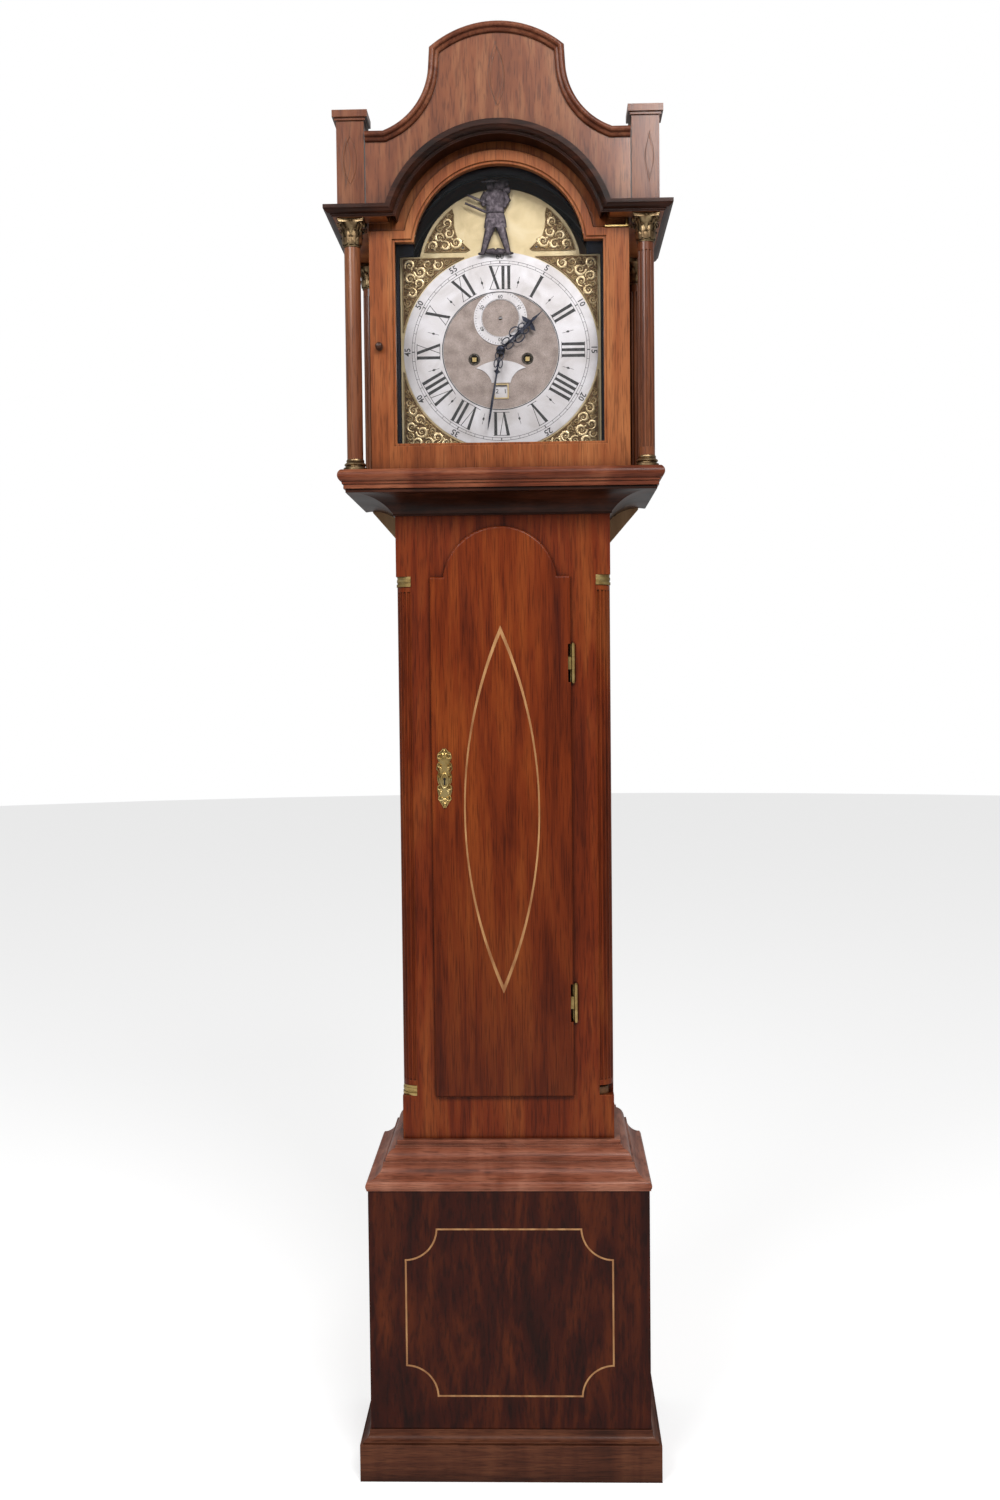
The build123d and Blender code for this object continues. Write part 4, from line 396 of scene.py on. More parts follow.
def plate(whole, points, near, thick):
    """A flat plate that faces the viewer, cut to (x, z) points."""
    bm = bmesh.new()
    face = bm.faces.new([bm.verts.new(spot(x, near, z)) for x, z in points])
    thicken(bm, [face], (0, -thick * mm, 0))
    joined(whole, bm)


def arc(x, z, radius, start, end, steps):
    """Points on a circle in the front view, with angles in degrees from X."""
    turns = [radians(start + (end - start) * n / steps) for n in range(steps + 1)]
    return [(x + radius * cos(turn), z + radius * sin(turn)) for turn in turns]


def ribbon(bm, points, widths, near, rise, closed=False):
    """A raised rounded strap along (x, z) points; widths are half widths."""
    rings, count = [], len(points)
    section = ((-1, 0), (-0.72, 0.75), (0, 1), (0.72, 0.75), (1, 0))
    for n, (x, z) in enumerate(points):
        before = points[(n - 1) % count] if closed or n else points[0]
        after = points[(n + 1) % count] if closed or n < count - 1 else points[-1]
        along_x, along_z = after[0] - before[0], after[1] - before[1]
        length = hypot(along_x, along_z) or 1
        across_x, across_z = along_z / length, -along_x / length
        half, high = widths[n], rise * min(1.0, widths[n] / max(widths) + 0.25)
        rings.append([spot(x + across_x * half * side, near + high * up, z + across_z * half * side)
                      for side, up in section])
    skin(bm, rings, closed)


def volute(x, z, radius, start, turns, way=1):
    """Points of a scroll that winds in from its outer radius, with half widths along it."""
    steps = max(8, int(10 * turns))
    points, widths = [], []
    for n in range(steps + 1):
        share = n / steps
        r = radius * (1 - 0.74 * share)
        angle = start + way * 2 * pi * turns * share
        points.append((x + r * cos(angle), z + r * sin(angle)))
        widths.append(radius * 0.24 * (0.55 + 0.75 * sin(pi * min(1, share * 1.1 + 0.12))))
    return points, widths


def boss(whole, x, z, radius, near, rise):
    """A small rounded boss."""
    bm = bmesh.new()
    place = Matrix.Translation(spot(x, near, z)) @ Matrix.Diagonal((radius * mm, rise * mm, radius * mm, 1))
    bmesh.ops.create_icosphere(bm, subdivisions=1, radius=1, matrix=place)
    joined(whole, bm)


def leaf(bm, x, z, angle, length, width, near, rise):
    """A pointed leaf with a raised rib, growing at an angle in degrees."""
    turn_x, turn_z = cos(radians(angle)), sin(radians(angle))
    shares = (0, 0.15, 0.35, 0.6, 0.82, 1)
    points = [(x + turn_x * length * share, z + turn_z * length * share) for share in shares]
    widths = [width * share for share in (0.35, 0.75, 1.0, 0.85, 0.45, 0.06)]
    ribbon(bm, points, widths, near, rise)


def piece(name, bm, body, made, smooth=40):
    """Finishes a mesh as a piece that rides on a body and takes a slot."""
    bmesh.ops.remove_doubles(bm, verts=bm.verts, dist=1e-6)
    bmesh.ops.recalc_face_normals(bm, faces=bm.faces)
    mesh = bpy.data.meshes.new(name)
    bm.to_mesh(mesh)
    bm.free()
    for face in mesh.polygons:
        face.use_smooth = True
    mesh.set_sharp_from_angle(angle=radians(smooth))
    mesh.materials.append(made)
    obj = bpy.data.objects.new(name, mesh)
    scene.collection.objects.link(obj)
    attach(obj, body)
    return obj


low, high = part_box("trunk_door_escutcheon")
plate_x, plate_z = (low.x + high.x) / 2 / mm, (low.z + high.z) / 2 / mm
door_front = (cad_high.y - high.y) / mm
plate_thick, scroll_rise, leaf_rise = 0.9, 2.4, 2.0
scrolls = ((6.6, 34, 4.8, 200, 1.2, 1), (7.0, 20, 4.2, 90, 1.1, -1), (7.8, 4, 3.6, 120, 1.0, -1),
           (6.6, -14, 4.6, 90, 1.15, -1), (5.4, -30, 4.6, 60, 1.2, -1))
outer_edge = ((1.5, 45), (5, 41), (9, 38), (10.5, 31), (7.6, 26), (10.8, 20), (11.4, 14), (8.2, 10),
              (10.6, 3), (9.4, -6), (7.2, -10), (10.6, -17), (8.6, -25), (7.8, -33), (4, -39), (1.0, -44.5))
leaves = ((0, 38, 90, 7.5), (0, 32, 60, 9), (0, 32, 120, 9), (0, -36, 270, 8.5), (0, -30, 300, 9),
          (0, -30, 240, 9), (-4, 12, 120, 8), (4, 12, 60, 8), (-4, -18, 240, 7), (4, -18, 300, 7))
ground = [(0, 42), (7, 38), (9, 30), (6.5, 26), (9.6, 19), (7, 11), (9.4, 3), (8, -6), (6, -10), (9, -18),
          (7, -28), (5.5, -36), (0, -42)]
bm = bmesh.new()
for side in (-1, 1):
    for x, z, radius, start, turns, way in scrolls:
        start = radians(start) if side > 0 else pi - radians(start)
        points, widths = volute(plate_x + side * x, plate_z + z, radius, start, turns, side * way)
        ribbon(bm, points, [0.9 * width for width in widths], door_front, scroll_rise)
        boss(bm, plate_x + side * x, plate_z + z, 1.3, door_front, 2.2)
    edge = [(plate_x + side * x, plate_z + z) for x, z in outer_edge]
    ribbon(bm, edge, [0.9] * len(edge), door_front, leaf_rise)
for x, z, angle, length in leaves:
    leaf(bm, plate_x + x, plate_z + z, angle, length, 2.2, door_front, leaf_rise)
ground += [(-x, z) for x, z in ground[-2:0:-1]]
plate(bm, [(plate_x + x, plate_z + z) for x, z in ground], door_front, plate_thick)
rim_turns = [2 * pi * n / 24 for n in range(24)]
rim = [(plate_x + 5.2 * sin(turn), plate_z - 3 + 11 * cos(turn)) for turn in rim_turns]
ribbon(bm, rim, [1.2] * len(rim), door_front + 0.8, 2.2, closed=True)
gilt = brass("rubbed_gilt_brass", (0.42, 0.27, 0.09), (0.72, 0.50, 0.19), (0.92, 0.72, 0.34), 0.28)
escutcheon = piece("escutcheon_casting", bm, "trunk_door", gilt)
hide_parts("trunk_door_escutcheon")

# Keyhole. A thin near-black plate on the casting: painted shade where the real escutcheon is pierced.
bm = bmesh.new()
keyhole = arc(plate_x, plate_z - 1, 2.2, -60, 240, 12)
keyhole += [(plate_x - 1.3, plate_z - 10), (plate_x + 1.3, plate_z - 10)]
plate(bm, keyhole, door_front + plate_thick, 0.15)
keyhole_shade = mottled("dark_hole", 0.9, (200, 200, 200), (0.3, (0.004, 0.003, 0.002)),
               (0.7, (0.012, 0.009, 0.007)), detail=2)
piece("keyhole_shadow", bm, "trunk_door", keyhole_shade)

# Nail at the door's left shoulder. An old dark iron nail or pin, driven through the lip at some repair
# and filed nearly flush.
low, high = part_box("trunk_door")
nail_x, nail_z, lip_front = low.x / mm + 5, high.z / mm - 81, (cad_high.y - low.y) / mm
bm = bmesh.new()
place = Matrix.Translation(spot(nail_x, lip_front - 2.0, nail_z))
place = place @ Matrix.Diagonal((1.6 * mm, 2.1 * mm, 1.6 * mm, 1))
bmesh.ops.create_icosphere(bm, subdivisions=2, radius=1, matrix=place)
blued = brass("dark_blued_steel", (0.012, 0.013, 0.022), (0.035, 0.038, 0.055), (0.09, 0.09, 0.11), 0.34)
piece("door_shoulder_nail", bm, "trunk_door", blued)

# Hood. Orange-brown boards and door frame, dark hollow cornice and throat, and a red nosed moulding at
# its foot. The columns and blocks are a duller, glossier wood, and the cresting is one wide board.
dress(mahogany("hood_mahogany", (0.12, 0.027, 0.007), (0.25, 0.066, 0.018), (0.37, 0.13, 0.042), lengthwise),
      "hood_frame", "hood_door_frame", "hood_roof")
dress(mahogany("dark_moulded_mahogany", (0.006, 0.002, 0.001), (0.024, 0.006, 0.002),
               (0.065, 0.018, 0.008), crosswise, 0.5, 0.27), "throat_moulding", "hood_cornice")
dress(mahogany("red_moulded_mahogany", (0.045, 0.010, 0.004), (0.14, 0.033, 0.014), (0.26, 0.085, 0.04),
               crosswise, 0.5, 0.27), "hood_base_moulding")
dress(mahogany("column_mahogany", (0.07, 0.017, 0.006), (0.15, 0.042, 0.015), (0.23, 0.085, 0.035),
               lengthwise, coat=0.5), "hood_columns", "finial_blocks")
dress(mahogany("pediment_mahogany", (0.10, 0.024, 0.008), (0.19, 0.056, 0.020), (0.28, 0.115, 0.048),
               (48, 48, 5), 1.4, 0.34, coat=0.9), "pediment_board")
dress(mahogany("dark_turned_knob", (0.02, 0.008, 0.005), (0.05, 0.02, 0.012), (0.10, 0.045, 0.03),
               (60, 60, 60), 0.5, 0.2), "hood_door_knob")

# Capitals and bases of the hood's columns. Tarnished brass: each capital is a bell with two rows of cast
# leaves, scrolls at its corners and a curved top plate, and each base is turned. Both are pushed on.
low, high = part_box("hood_columns")
shaft_radius = 11.8
column_x = high.x / mm - shaft_radius
column_depths = ((cad_high.y - low.y) / mm - shaft_radius, (cad_high.y - high.y) / mm + shaft_radius)
base_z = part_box("hood_base_moulding")[1].z / mm
capital_foot = high.z / mm


def lathe(bm, points, segments=32):
    """A turned solid about the Z axis from (radius, height) points."""
    verts = [bm.verts.new((radius * mm, 0, z * mm)) for radius, z in points]
    edges = [bm.edges.new(ends) for ends in zip(verts, verts[1:])]
    bmesh.ops.spin(bm, geom=verts + edges, axis=(0, 0, 1), cent=(0, 0, 0), angle=2 * pi, steps=segments,
                   use_merge=True)


def acanthus(bm, angle, foot, height, radius, width, lean):
    """One leaf that stands on the bell and curls over at its tip."""
    section = ((-1, -0.3), (-0.5, 0.5), (0, 1.2), (0.5, 0.5), (1, -0.3), (0.4, -0.9), (-0.4, -0.9))
    rings = []
    for n in range(8):
        share = n / 7
        out = radius + lean * share ** 3 + sin(pi * share)
        up = foot + height * (sin(min(1, share * 1.15) * pi / 2) - 0.16 * max(0, share - 0.8) * 5)
        half = width * (0.75 + 0.35 * sin(pi * share * 2.4)) * (1 if share < 0.75 else 1.6 - share * 0.95)
        thick = 1.1 - 0.6 * share
        ring = []
        for side, bulge in section:
            r, across = out + thick * bulge, side * half
            ring.append(Vector((r * cos(angle) - across * sin(angle), r * sin(angle) + across * cos(angle),
                                up)) * mm)
        rings.append(ring)
    skin(bm, rings)


def corner_scroll(bm, angle, side):
    """A stalk that climbs the bell to a corner and rolls up under the top plate."""
    section = ((-0.8, -0.5), (0.8, -0.5), (0.8, 0.5), (-0.8, 0.5))
    bend = 0.4
    rings = []
    for k in range(20):
        share = k / 19
        if share < bend:
            out, up = 13.5 + 9.0 * (share / bend) ** 1.6, 20 + 12.5 * share / bend
        else:
            turn = (share - bend) / (1 - bend) * 2.6 * pi
            r = 3.6 * (1 - 0.66 * (share - bend) / (1 - bend))
            out, up = 22.5 + r * sin(turn), 28.9 + r * cos(turn)
        half = 1.35 * (1.1 - 0.4 * share)
        tilt = side * 0.16 * (1 - share)
        across = Vector((-sin(angle), cos(angle), 0)) * half
        centre = Vector((out * cos(angle + tilt), out * sin(angle + tilt), up)) + across * (0.55 * side)
        rings.append([(centre + across * a + Vector((0, 0, half * b))) * mm for a, b in section])
    skin(bm, rings)


def top_plate(bm):
    """The capital's four-cornered top plate with hollow sides, in two steps."""
    corners = []
    for n in range(4):
        middle = n * pi / 2
        for k in range(7):
            share = (k / 6 - 0.5) * 2
            x, y = 16.6 + 3.4 * share ** 2, share * 18.6
            corners.append((x * cos(middle) - y * sin(middle), x * sin(middle) + y * cos(middle)))
    for low_z, high_z, grow in ((34, 36.4, 0.95), (36.4, 39, 1.0)):
        face = bm.faces.new([bm.verts.new((x * grow * mm, y * grow * mm, low_z * mm)) for x, y in corners])
        thicken(bm, [face], (0, 0, (high_z - low_z) * mm))


def stored(name, bm):
    """Keeps a finished mesh so that it can be stamped several times."""
    bmesh.ops.recalc_face_normals(bm, faces=bm.faces)
    mesh = bpy.data.meshes.new(name)
    bm.to_mesh(mesh)
    bm.free()
    return mesh


def stamp(bm, mesh, place):
    """Adds a copy of a stored mesh at a place."""
    start = len(bm.verts)
    bm.from_mesh(mesh)
    bm.verts.ensure_lookup_table()
    bmesh.ops.translate(bm, verts=bm.verts[start:], vec=place)


bm = bmesh.new()
lathe(bm, ((0, 0), (13.0, 0), (13.2, 1.2), (12.2, 2.6), (12.4, 4), (12.8, 12), (13.6, 24), (16.0, 31),
           (18.2, 34), (0, 34)))
for n in range(8):
    acanthus(bm, 2 * pi * n / 8, 3.0, 12.5, 13.2, 4.6, 3.4)
    acanthus(bm, 2 * pi * (n + 0.5) / 8, 5.0, 21.0, 13.4, 4.6, 4.6)
for n in range(4):
    for side in (-1, 1):
        corner_scroll(bm, pi / 4 + n * pi / 2, side)
for n in range(4):
    place = Matrix.Translation(Vector((16.5 * cos(n * pi / 2), 16.5 * sin(n * pi / 2), 36)) * mm)
    bmesh.ops.create_icosphere(bm, subdivisions=1, radius=2.6 * mm, matrix=place)
top_plate(bm)
capital = stored("capital", bm)
bm = bmesh.new()
lathe(bm, ((0, 0), (17.5, 0), (17.5, 3.4), (16.8, 4), (14.2, 4.6), (14, 6), (15.4, 6.6), (16.2, 8),
           (15.4, 9.6), (13.6, 10.8), (12.6, 12), (13.2, 12.8), (13.2, 14), (12.6, 15.5), (0, 15.5)))
turned_base = stored("base", bm)
bm = bmesh.new()
for side in (-1, 1):
    for depth in column_depths:
        stamp(bm, capital, spot(side * column_x, depth, capital_foot))
        stamp(bm, turned_base, spot(side * column_x, depth, base_z))
aged_brass = brass("aged_capital_brass", (0.09, 0.055, 0.03), (0.24, 0.16, 0.085), (0.50, 0.37, 0.20),
                   0.38, 90)
brasses = piece("column_capitals_and_bases", bm, "hood", aged_brass)
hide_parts("hood_column_brasses")

# Applied moulding of the crest. A rounded length of darker mahogany, bent round the board's edge, mitred
# at the crest's corners and glued to its face. Its course runs along the edge and its section inwards.
low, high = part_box("pediment_moulding")
board_front = (cad_high.y - high.y) / mm
crest_top, moulding_half = high.z / mm, high.x / mm
crest_half, crest_rise, shoulder_drop = 97.2, 35, 152
hollow_radius, hollow_out, hollow_below_corner, shoulder_start = 100.6, 102.1, 22, 34
crest_corner, shoulder_z = crest_top - crest_rise, crest_top - shoulder_drop
hollow_x, hollow_z = crest_half + hollow_out, crest_corner - hollow_below_corner
crest_radius = (crest_half ** 2 + crest_rise ** 2) / (2 * crest_rise)
swing = degrees(atan2(crest_half, crest_radius - crest_rise))
crest = arc(0, crest_top - crest_radius, crest_radius, 90 + swing, 90 - swing, 28)
right_side = [(crest_half, crest_corner)]
right_side += [(x, z) for x, z in arc(hollow_x, hollow_z, hollow_radius, 180, 252, 26)
               if shoulder_z + 0.5 < z < hollow_z - 1]
right_side += [(hollow_x - shoulder_start, shoulder_z), (moulding_half, shoulder_z)]
course = [(-x, z) for x, z in reversed(right_side)] + crest[1:-1] + right_side
profile = ((0, 0), (0, 5.2), (1.2, 8.2), (3.2, 10.2), (5.6, 10.8), (7.6, 9.8), (8.6, 8.0), (8.8, 6.0),
           (9.8, 5.4), (11.6, 5.2), (13.4, 4.0), (14.4, 2.2), (14.5, 0))
rings = []
for n, (x, z) in enumerate(course):
    before, after = course[max(0, n - 1)], course[min(len(course) - 1, n + 1)]
    into = Vector((x - before[0], z - before[1])).normalized()
    out = Vector((after[0] - x, after[1] - z)).normalized()
    into, out = (into if n else out), (out if n < len(course) - 1 else into)
    inward = Vector((into.y + out.y, -into.x - out.x)).normalized()
    reach = 1 / max(0.35, inward.dot(Vector((into.y, -into.x))))
    rings.append([spot(x + inward.x * reach * width, board_front + rise, z + inward.y * reach * width)
                  for width, rise in profile])
bm = bmesh.new()
skin(bm, rings)
crest_wood = mahogany("crest_moulding_mahogany", (0.05, 0.014, 0.007), (0.13, 0.038, 0.018),
                      (0.24, 0.09, 0.045), (40, 40, 40), 0.8, 0.25)
crest_moulding = piece("crest_moulding", bm, "hood", crest_wood, 50)
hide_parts("pediment_moulding")

# Marks on the cresting and the blocks. A pointed oval is scribed into the old polish of each, where
# inlay was once meant or copied.
low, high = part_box("finial_blocks")
block_front, block_x = (cad_high.y - low.y) / mm, high.x / mm - 20
line_half, line_rise = 0.35, 0.12
crest_mark, block_mark = (crest_top - 72, 11, 46, board_front), (crest_top - 195, 6, 34, block_front)
bm = bmesh.new()
for x, (z, half_x, half_z, near) in ((-2, crest_mark), (-block_x, block_mark), (block_x, block_mark)):
    for side in (-1, 1):
        line = [(x + side * half_x * cos(pi / 2 * n / 12) ** 1.4, z + half_z * n / 12)
                for n in range(-12, 13)]
        ribbon(bm, line, [line_half] * len(line), near - 0.01, line_rise)
scribed = mottled("dark_scribed_line", 0.6, (300, 300, 300), (0.3, (0.05, 0.018, 0.008)),
                  (0.8, (0.11, 0.045, 0.02)))
piece("scribed_ovals", bm, "hood", scribed)

# Dust strip. Dark cloth glued under the hood's roof, just in front of the backboard's arched edge, so
# that no light comes in over the board. It slides away with the hood.
arch_z, strip_inner, strip_outer, strip_thick = 1834, 149, 156.6, 2
strip_back = (cad_high.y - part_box("backboard")[0].y) / mm + 0.4
section = ((strip_inner, strip_back), (strip_outer, strip_back), (strip_outer, strip_back + strip_thick),
           (strip_inner, strip_back + strip_thick))
rings = [[spot(r * cos(pi * n / 48), depth, arch_z + r * sin(pi * n / 48)) for r, depth in section]
         for n in range(49)]
bm = bmesh.new()
skin(bm, rings)
cloth = mottled("dark_cloth", 0.95, (600, 600, 600), (0.3, (0.008, 0.007, 0.006)),
                (0.8, (0.03, 0.027, 0.024)), detail=3, depth=0.0002)
piece("hood_dust_strip", bm, "hood", cloth)

# Glass of the hood door. One old pane, cut to the arch and puttied into the frame's rebate. It is clear,
# with a faint reflection.
pane, tree, _ = finish("old_glass")
tree.nodes.remove(tree.nodes["Principled BSDF"])
clear = add(tree, "BsdfTransparent", Color=grey(0.985))
shine = add(tree, "BsdfGlossy", Color=grey(1), Roughness=0.03)
share = calc(tree, "MULTIPLY", add(tree, "Fresnel", IOR=1.45).outputs[0], 0.55)
film = add(tree, "MixShader")
for socket, value in zip(film.inputs, (share, clear.outputs[0], shine.outputs[0])):
    put(tree, socket, value)
put(tree, tree.nodes["Material Output"].inputs["Surface"], film.outputs[0])
dress(pane, "hood_door_glass")

# Mask round the dial. A thin board inside the hood, painted blue-black and quite matt, with an opening
# that the dial shows through.
dark_mask = mottled("blue_black_mask", 0.95, (40, 40, 12), (0.3, (0.008, 0.010, 0.018)),
                    (0.8, (0.03, 0.033, 0.045)), detail=5, depth=0.0003)
dark_mask.node_tree.nodes["Principled BSDF"].inputs["Specular IOR Level"].default_value = 0.1
dress(dark_mask, "hood_dial_mask")

# Dial plate. Cast brass with a gilded arch and margins, a matted centre inside the chapter ring, and turned
# rings round the two winding holes, painted near-black there as the shade of the holes.
low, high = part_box("chapter_ring")
dial_z = (low.z + high.z) / 2 / mm
ring_outer = (high.x - low.x) / 2 / mm
ring_front = (cad_high.y - low.y) / mm
dial_front = (cad_high.y - high.y) / mm
matted_radius, hole_shade_radius = 88, 9.0
winding_x, winding_z = 40, dial_z - 12


def reach_from(tree, x, z):
    """Distance in millimetres from an axis through the dial."""
    flat = mapped(tree, (1000, 0, 1000), (x * mm, 0, z * mm))
    made = add(tree, "VectorMath", [("operation", "LENGTH")])
    put(tree, made.inputs[0], flat)
    return made.outputs["Value"]


def within(tree, value, low, high):
    """1 where a value lies between two limits, and 0 elsewhere."""
    above = calc(tree, "GREATER_THAN", value, low)
    return calc(tree, "MULTIPLY", above, calc(tree, "LESS_THAN", value, high))


gold, tree, shader = finish("gilded_dial_brass", 0.34, 0.35)
plain = ramp(tree, noise(tree, 30, 5, 0.6), (0.25, (0.50, 0.38, 0.20)), (0.5, (0.68, 0.54, 0.31)),
             (0.8, (0.76, 0.64, 0.42)))
stipple = noise(tree, 1500, 2)
matted = ramp(tree, noise(tree, 60, 5), (0.25, (0.27, 0.21, 0.185)), (0.75, (0.50, 0.41, 0.37)))
pits = ramp(tree, stipple, (0.35, (0.35, 0.32, 0.30)), (0.65, (1, 1, 1)))
matted = blend(tree, 0.55, matted, pits, "MULTIPLY")
turned_and_shaded_rings = groove = None
for x in (-winding_x, winding_x):
    away = reach_from(tree, x, winding_z)
    turned = within(tree, away, 0, hole_shade_radius)
    wave = calc(tree, "SINE", calc(tree, "MULTIPLY", away, 3.2))
    turned_and_shaded_rings = turned if turned_and_shaded_rings is None else calc(tree, "MAXIMUM", turned_and_shaded_rings, turned)
    groove = wave if groove is None else calc(tree, "MULTIPLY", groove, wave)
centre = within(tree, reach_from(tree, 0, dial_z), -1, matted_radius)
centre = calc(tree, "MULTIPLY", centre, calc(tree, "SUBTRACT", 1, turned_and_shaded_rings))
groove = calc(tree, "MULTIPLY", calc(tree, "ABSOLUTE", groove), turned_and_shaded_rings)
# Painted shade: a near-black disc round each winding hole, with the turned grooves bumped into it.
plain = blend(tree, turned_and_shaded_rings, plain, (0.05, 0.038, 0.026, 1))
put(tree, shader["Base Color"], blend(tree, centre, plain, matted))
put(tree, shader["Roughness"], calc(tree, "MULTIPLY_ADD", centre, 0.24, 0.30))
relief_height = calc(tree, "ADD", calc(tree, "MULTIPLY", stipple, centre),
                     calc(tree, "MULTIPLY", groove, 0.8))
put(tree, shader["Normal"], bump(tree, relief_height, 0.00025))
dress(gold, "dial_plate")

# Silvered rings and name plate. Brass rubbed with silver, brushed in circles and tarnished in clouds,
# riveted to the plate. The rim of the date aperture is left as brass.
silver, tree, shader = finish("silvered_brass", 0.36, 0.55)
away = reach_from(tree, 0, dial_z)
brushed = add(tree, "TexNoise", [("noise_dimensions", "1D")], W=calc(tree, "MULTIPLY", away, 3.0),
              Scale=1.0, Detail=4.0).outputs["Fac"]
tone = ramp(tree, noise(tree, 24, 6, 1.0), (0.22, (0.46, 0.42, 0.41)), (0.5, (0.62, 0.59, 0.60)),
            (0.8, (0.74, 0.72, 0.75)))
rim = calc(tree, "MULTIPLY", within(tree, axes(tree)["X"], -13 * mm, 13 * mm),
           within(tree, axes(tree)["Z"], (dial_z - 73) * mm, (dial_z - 47.4) * mm))
rim = calc(tree, "MULTIPLY", rim, calc(tree, "LESS_THAN", axes(tree)["Y"], spot(0, dial_front - 1, 0).y))
put(tree, shader["Base Color"], blend(tree, rim, tone, (0.62, 0.47, 0.24, 1)))
put(tree, shader["Roughness"], calc(tree, "MULTIPLY_ADD", brushed, 0.14, 0.30))
put(tree, shader["Normal"], bump(tree, brushed, 0.00002))
dress(silver, "chapter_ring", "dial_small_plates", "date_ring")

# Engraving of the rings. Numerals and tracks are cut into the silvered brass and filled with black wax,
# which stands a hair above it. Each mark is drawn at twelve as (across, out) and then turned.
wax = mottled("black_wax", 0.6, (300, 300, 300), (0.3, (0.012, 0.011, 0.012)), (0.8, (0.05, 0.047, 0.05)))
wax_rise = 0.05


def on_dial(points, angle, centre_z):
    """Turns (across, out) points on to a dial, with the angle in degrees clockwise from the top."""
    turn = radians(angle)
    return [(u * cos(turn) + v * sin(turn), centre_z - u * sin(turn) + v * cos(turn)) for u, v in points]


def stroke(bm, dial, angle, foot, head, half_foot, half_head):
    """A cut bar from foot to head; dial is the ring's front and the height of its middle."""
    points = [(foot[0] - half_foot, foot[1]), (foot[0] + half_foot, foot[1]),
              (head[0] + half_head, head[1]), (head[0] - half_head, head[1])]
    plate(bm, on_dial(points, angle, dial[1]), dial[0], wax_rise)


def band(bm, inner, outer, offset):
    """A flat ring between two loops of points, drawn out into a solid."""
    edges = []
    for loop in (inner, outer):
        verts = [bm.verts.new(place) for place in loop]
        edges += [bm.edges.new((verts[n - 1], verts[n])) for n in range(len(verts))]
    thicken(bm, bmesh.ops.bridge_loops(bm, edges=edges)["faces"], offset)


def circle_line(bm, dial, radius, half, segments=120):
    """A thin cut circle."""
    loops = [[spot(x, dial[0], z) for x, z in arc(0, dial[1], reach, 0, 360, segments)[:-1]]
             for reach in (radius - half, radius + half)]
    band(bm, *loops, (0, -wax_rise * mm, 0))


def figures(bm, dial, text, size, angle, out):
    """A plain number of a size, cut at a distance from the centre with its top outwards."""
    words = bpy.data.curves.new("figures", "FONT")
    words.body, words.size, words.resolution_u = text, size * mm, 2
    words.extrude, words.offset = wax_rise * mm / 2, size * mm * 0.018
    words.align_x, words.align_y = "CENTER", "CENTER"
    holder = bpy.data.objects.new("figures", words)
    cut = bpy.data.meshes.new_from_object(holder)
    bpy.data.objects.remove(holder)
    (x, z), = on_dial([(0, out)], angle, dial[1])
    place = Matrix.Translation(spot(x, dial[0] + wax_rise / 2, z))
    cut.transform(place @ Matrix.Rotation(radians(angle), 4, "Y") @ Matrix.Rotation(pi / 2, 4, "X"))
    bm.from_mesh(cut)


chapter = (ring_front, dial_z)
foot, head, thick_half, hair_half = 91.5, 126.0, 2.1, 0.5
letter_width = {"I": 8.6, "V": 17.5, "X": 17.5}
bm = bmesh.new()
for hour, letters in enumerate(("XII", "I", "II", "III", "IIII", "V", "VI", "VII", "VIII", "IX", "X", "XI")):
    angle, whole_width = hour * 30, sum(letter_width[letter] for letter in letters)
    at = -whole_width / 2
    for letter in letters:
        middle, half = at + letter_width[letter] / 2, letter_width[letter] / 2 - 2.2
        if letter == "I":
            stroke(bm, chapter, angle, (middle, foot), (middle, head), thick_half, 2.4)
        elif letter == "V":
            stroke(bm, chapter, angle, (middle + 0.5, foot), (middle - half + 0.6, head), 1.5, 2.4)
            stroke(bm, chapter, angle, (middle + 0.5, foot), (middle + half, head), 0.4, hair_half)
        else:
            stroke(bm, chapter, angle, (middle + half - 0.6, foot), (middle - half + 0.6, head),
                   thick_half, 2.3)
            stroke(bm, chapter, angle, (middle - half, foot), (middle + half, head), hair_half, hair_half)
        at += letter_width[letter]
    serif = whole_width / 2 - 0.8
    for out in (foot, head):
        stroke(bm, chapter, angle, (0, out - 0.4), (0, out + 0.4), serif, serif)
    half_hour = on_dial([(0, 101), (-1.8, 104.5), (0, 108), (1.8, 104.5)], angle + 15, dial_z)
    plate(bm, half_hour, ring_front, wax_rise)
    for start, end in ((96, 101), (108, 113)):
        stroke(bm, chapter, angle + 15, (0, start), (0, end), 0.3, 0.3)
    figures(bm, chapter, str(hour * 5 or 60), 12.5, angle, 139.9)
for radius, half in ((87.6, 0.7), (129.6, 0.3), (133.6, 0.3)):
    circle_line(bm, chapter, radius, half)
for minute in range(60):
    half = 0.75 if minute % 5 == 0 else 0.3
    stroke(bm, chapter, minute * 6, (0, 129.7), (0, 133.5), half, half)
piece("chapter_ring_engraving", bm, "case", wax, 30)

# Engraving of the seconds ring. It is cut and waxed in the same way, and its track is left out where the
# ring runs in under the chapter ring.
seconds = (ring_front - 0.3, dial_z + 48.7)
track_radius = 38.6
bm = bmesh.new()
for mark in range(60):
    length = 3.4 if mark % 5 == 0 else 2.0
    across, up = 38.5 * sin(radians(mark * 6)), 38.5 * cos(radians(mark * 6))
    if dial_z + 85.5 > seconds[1] + up or abs(across) > 20:
        stroke(bm, seconds, mark * 6, (0, track_radius - length), (0, track_radius), 0.28, 0.28)
for number in range(10, 61, 10):
    figures(bm, seconds, str(number), 7.4, number * 6, 31.6)
circle_line(bm, seconds, 28.4, 0.22, 72)
piece("seconds_ring_engraving", bm, "case", wax, 30)

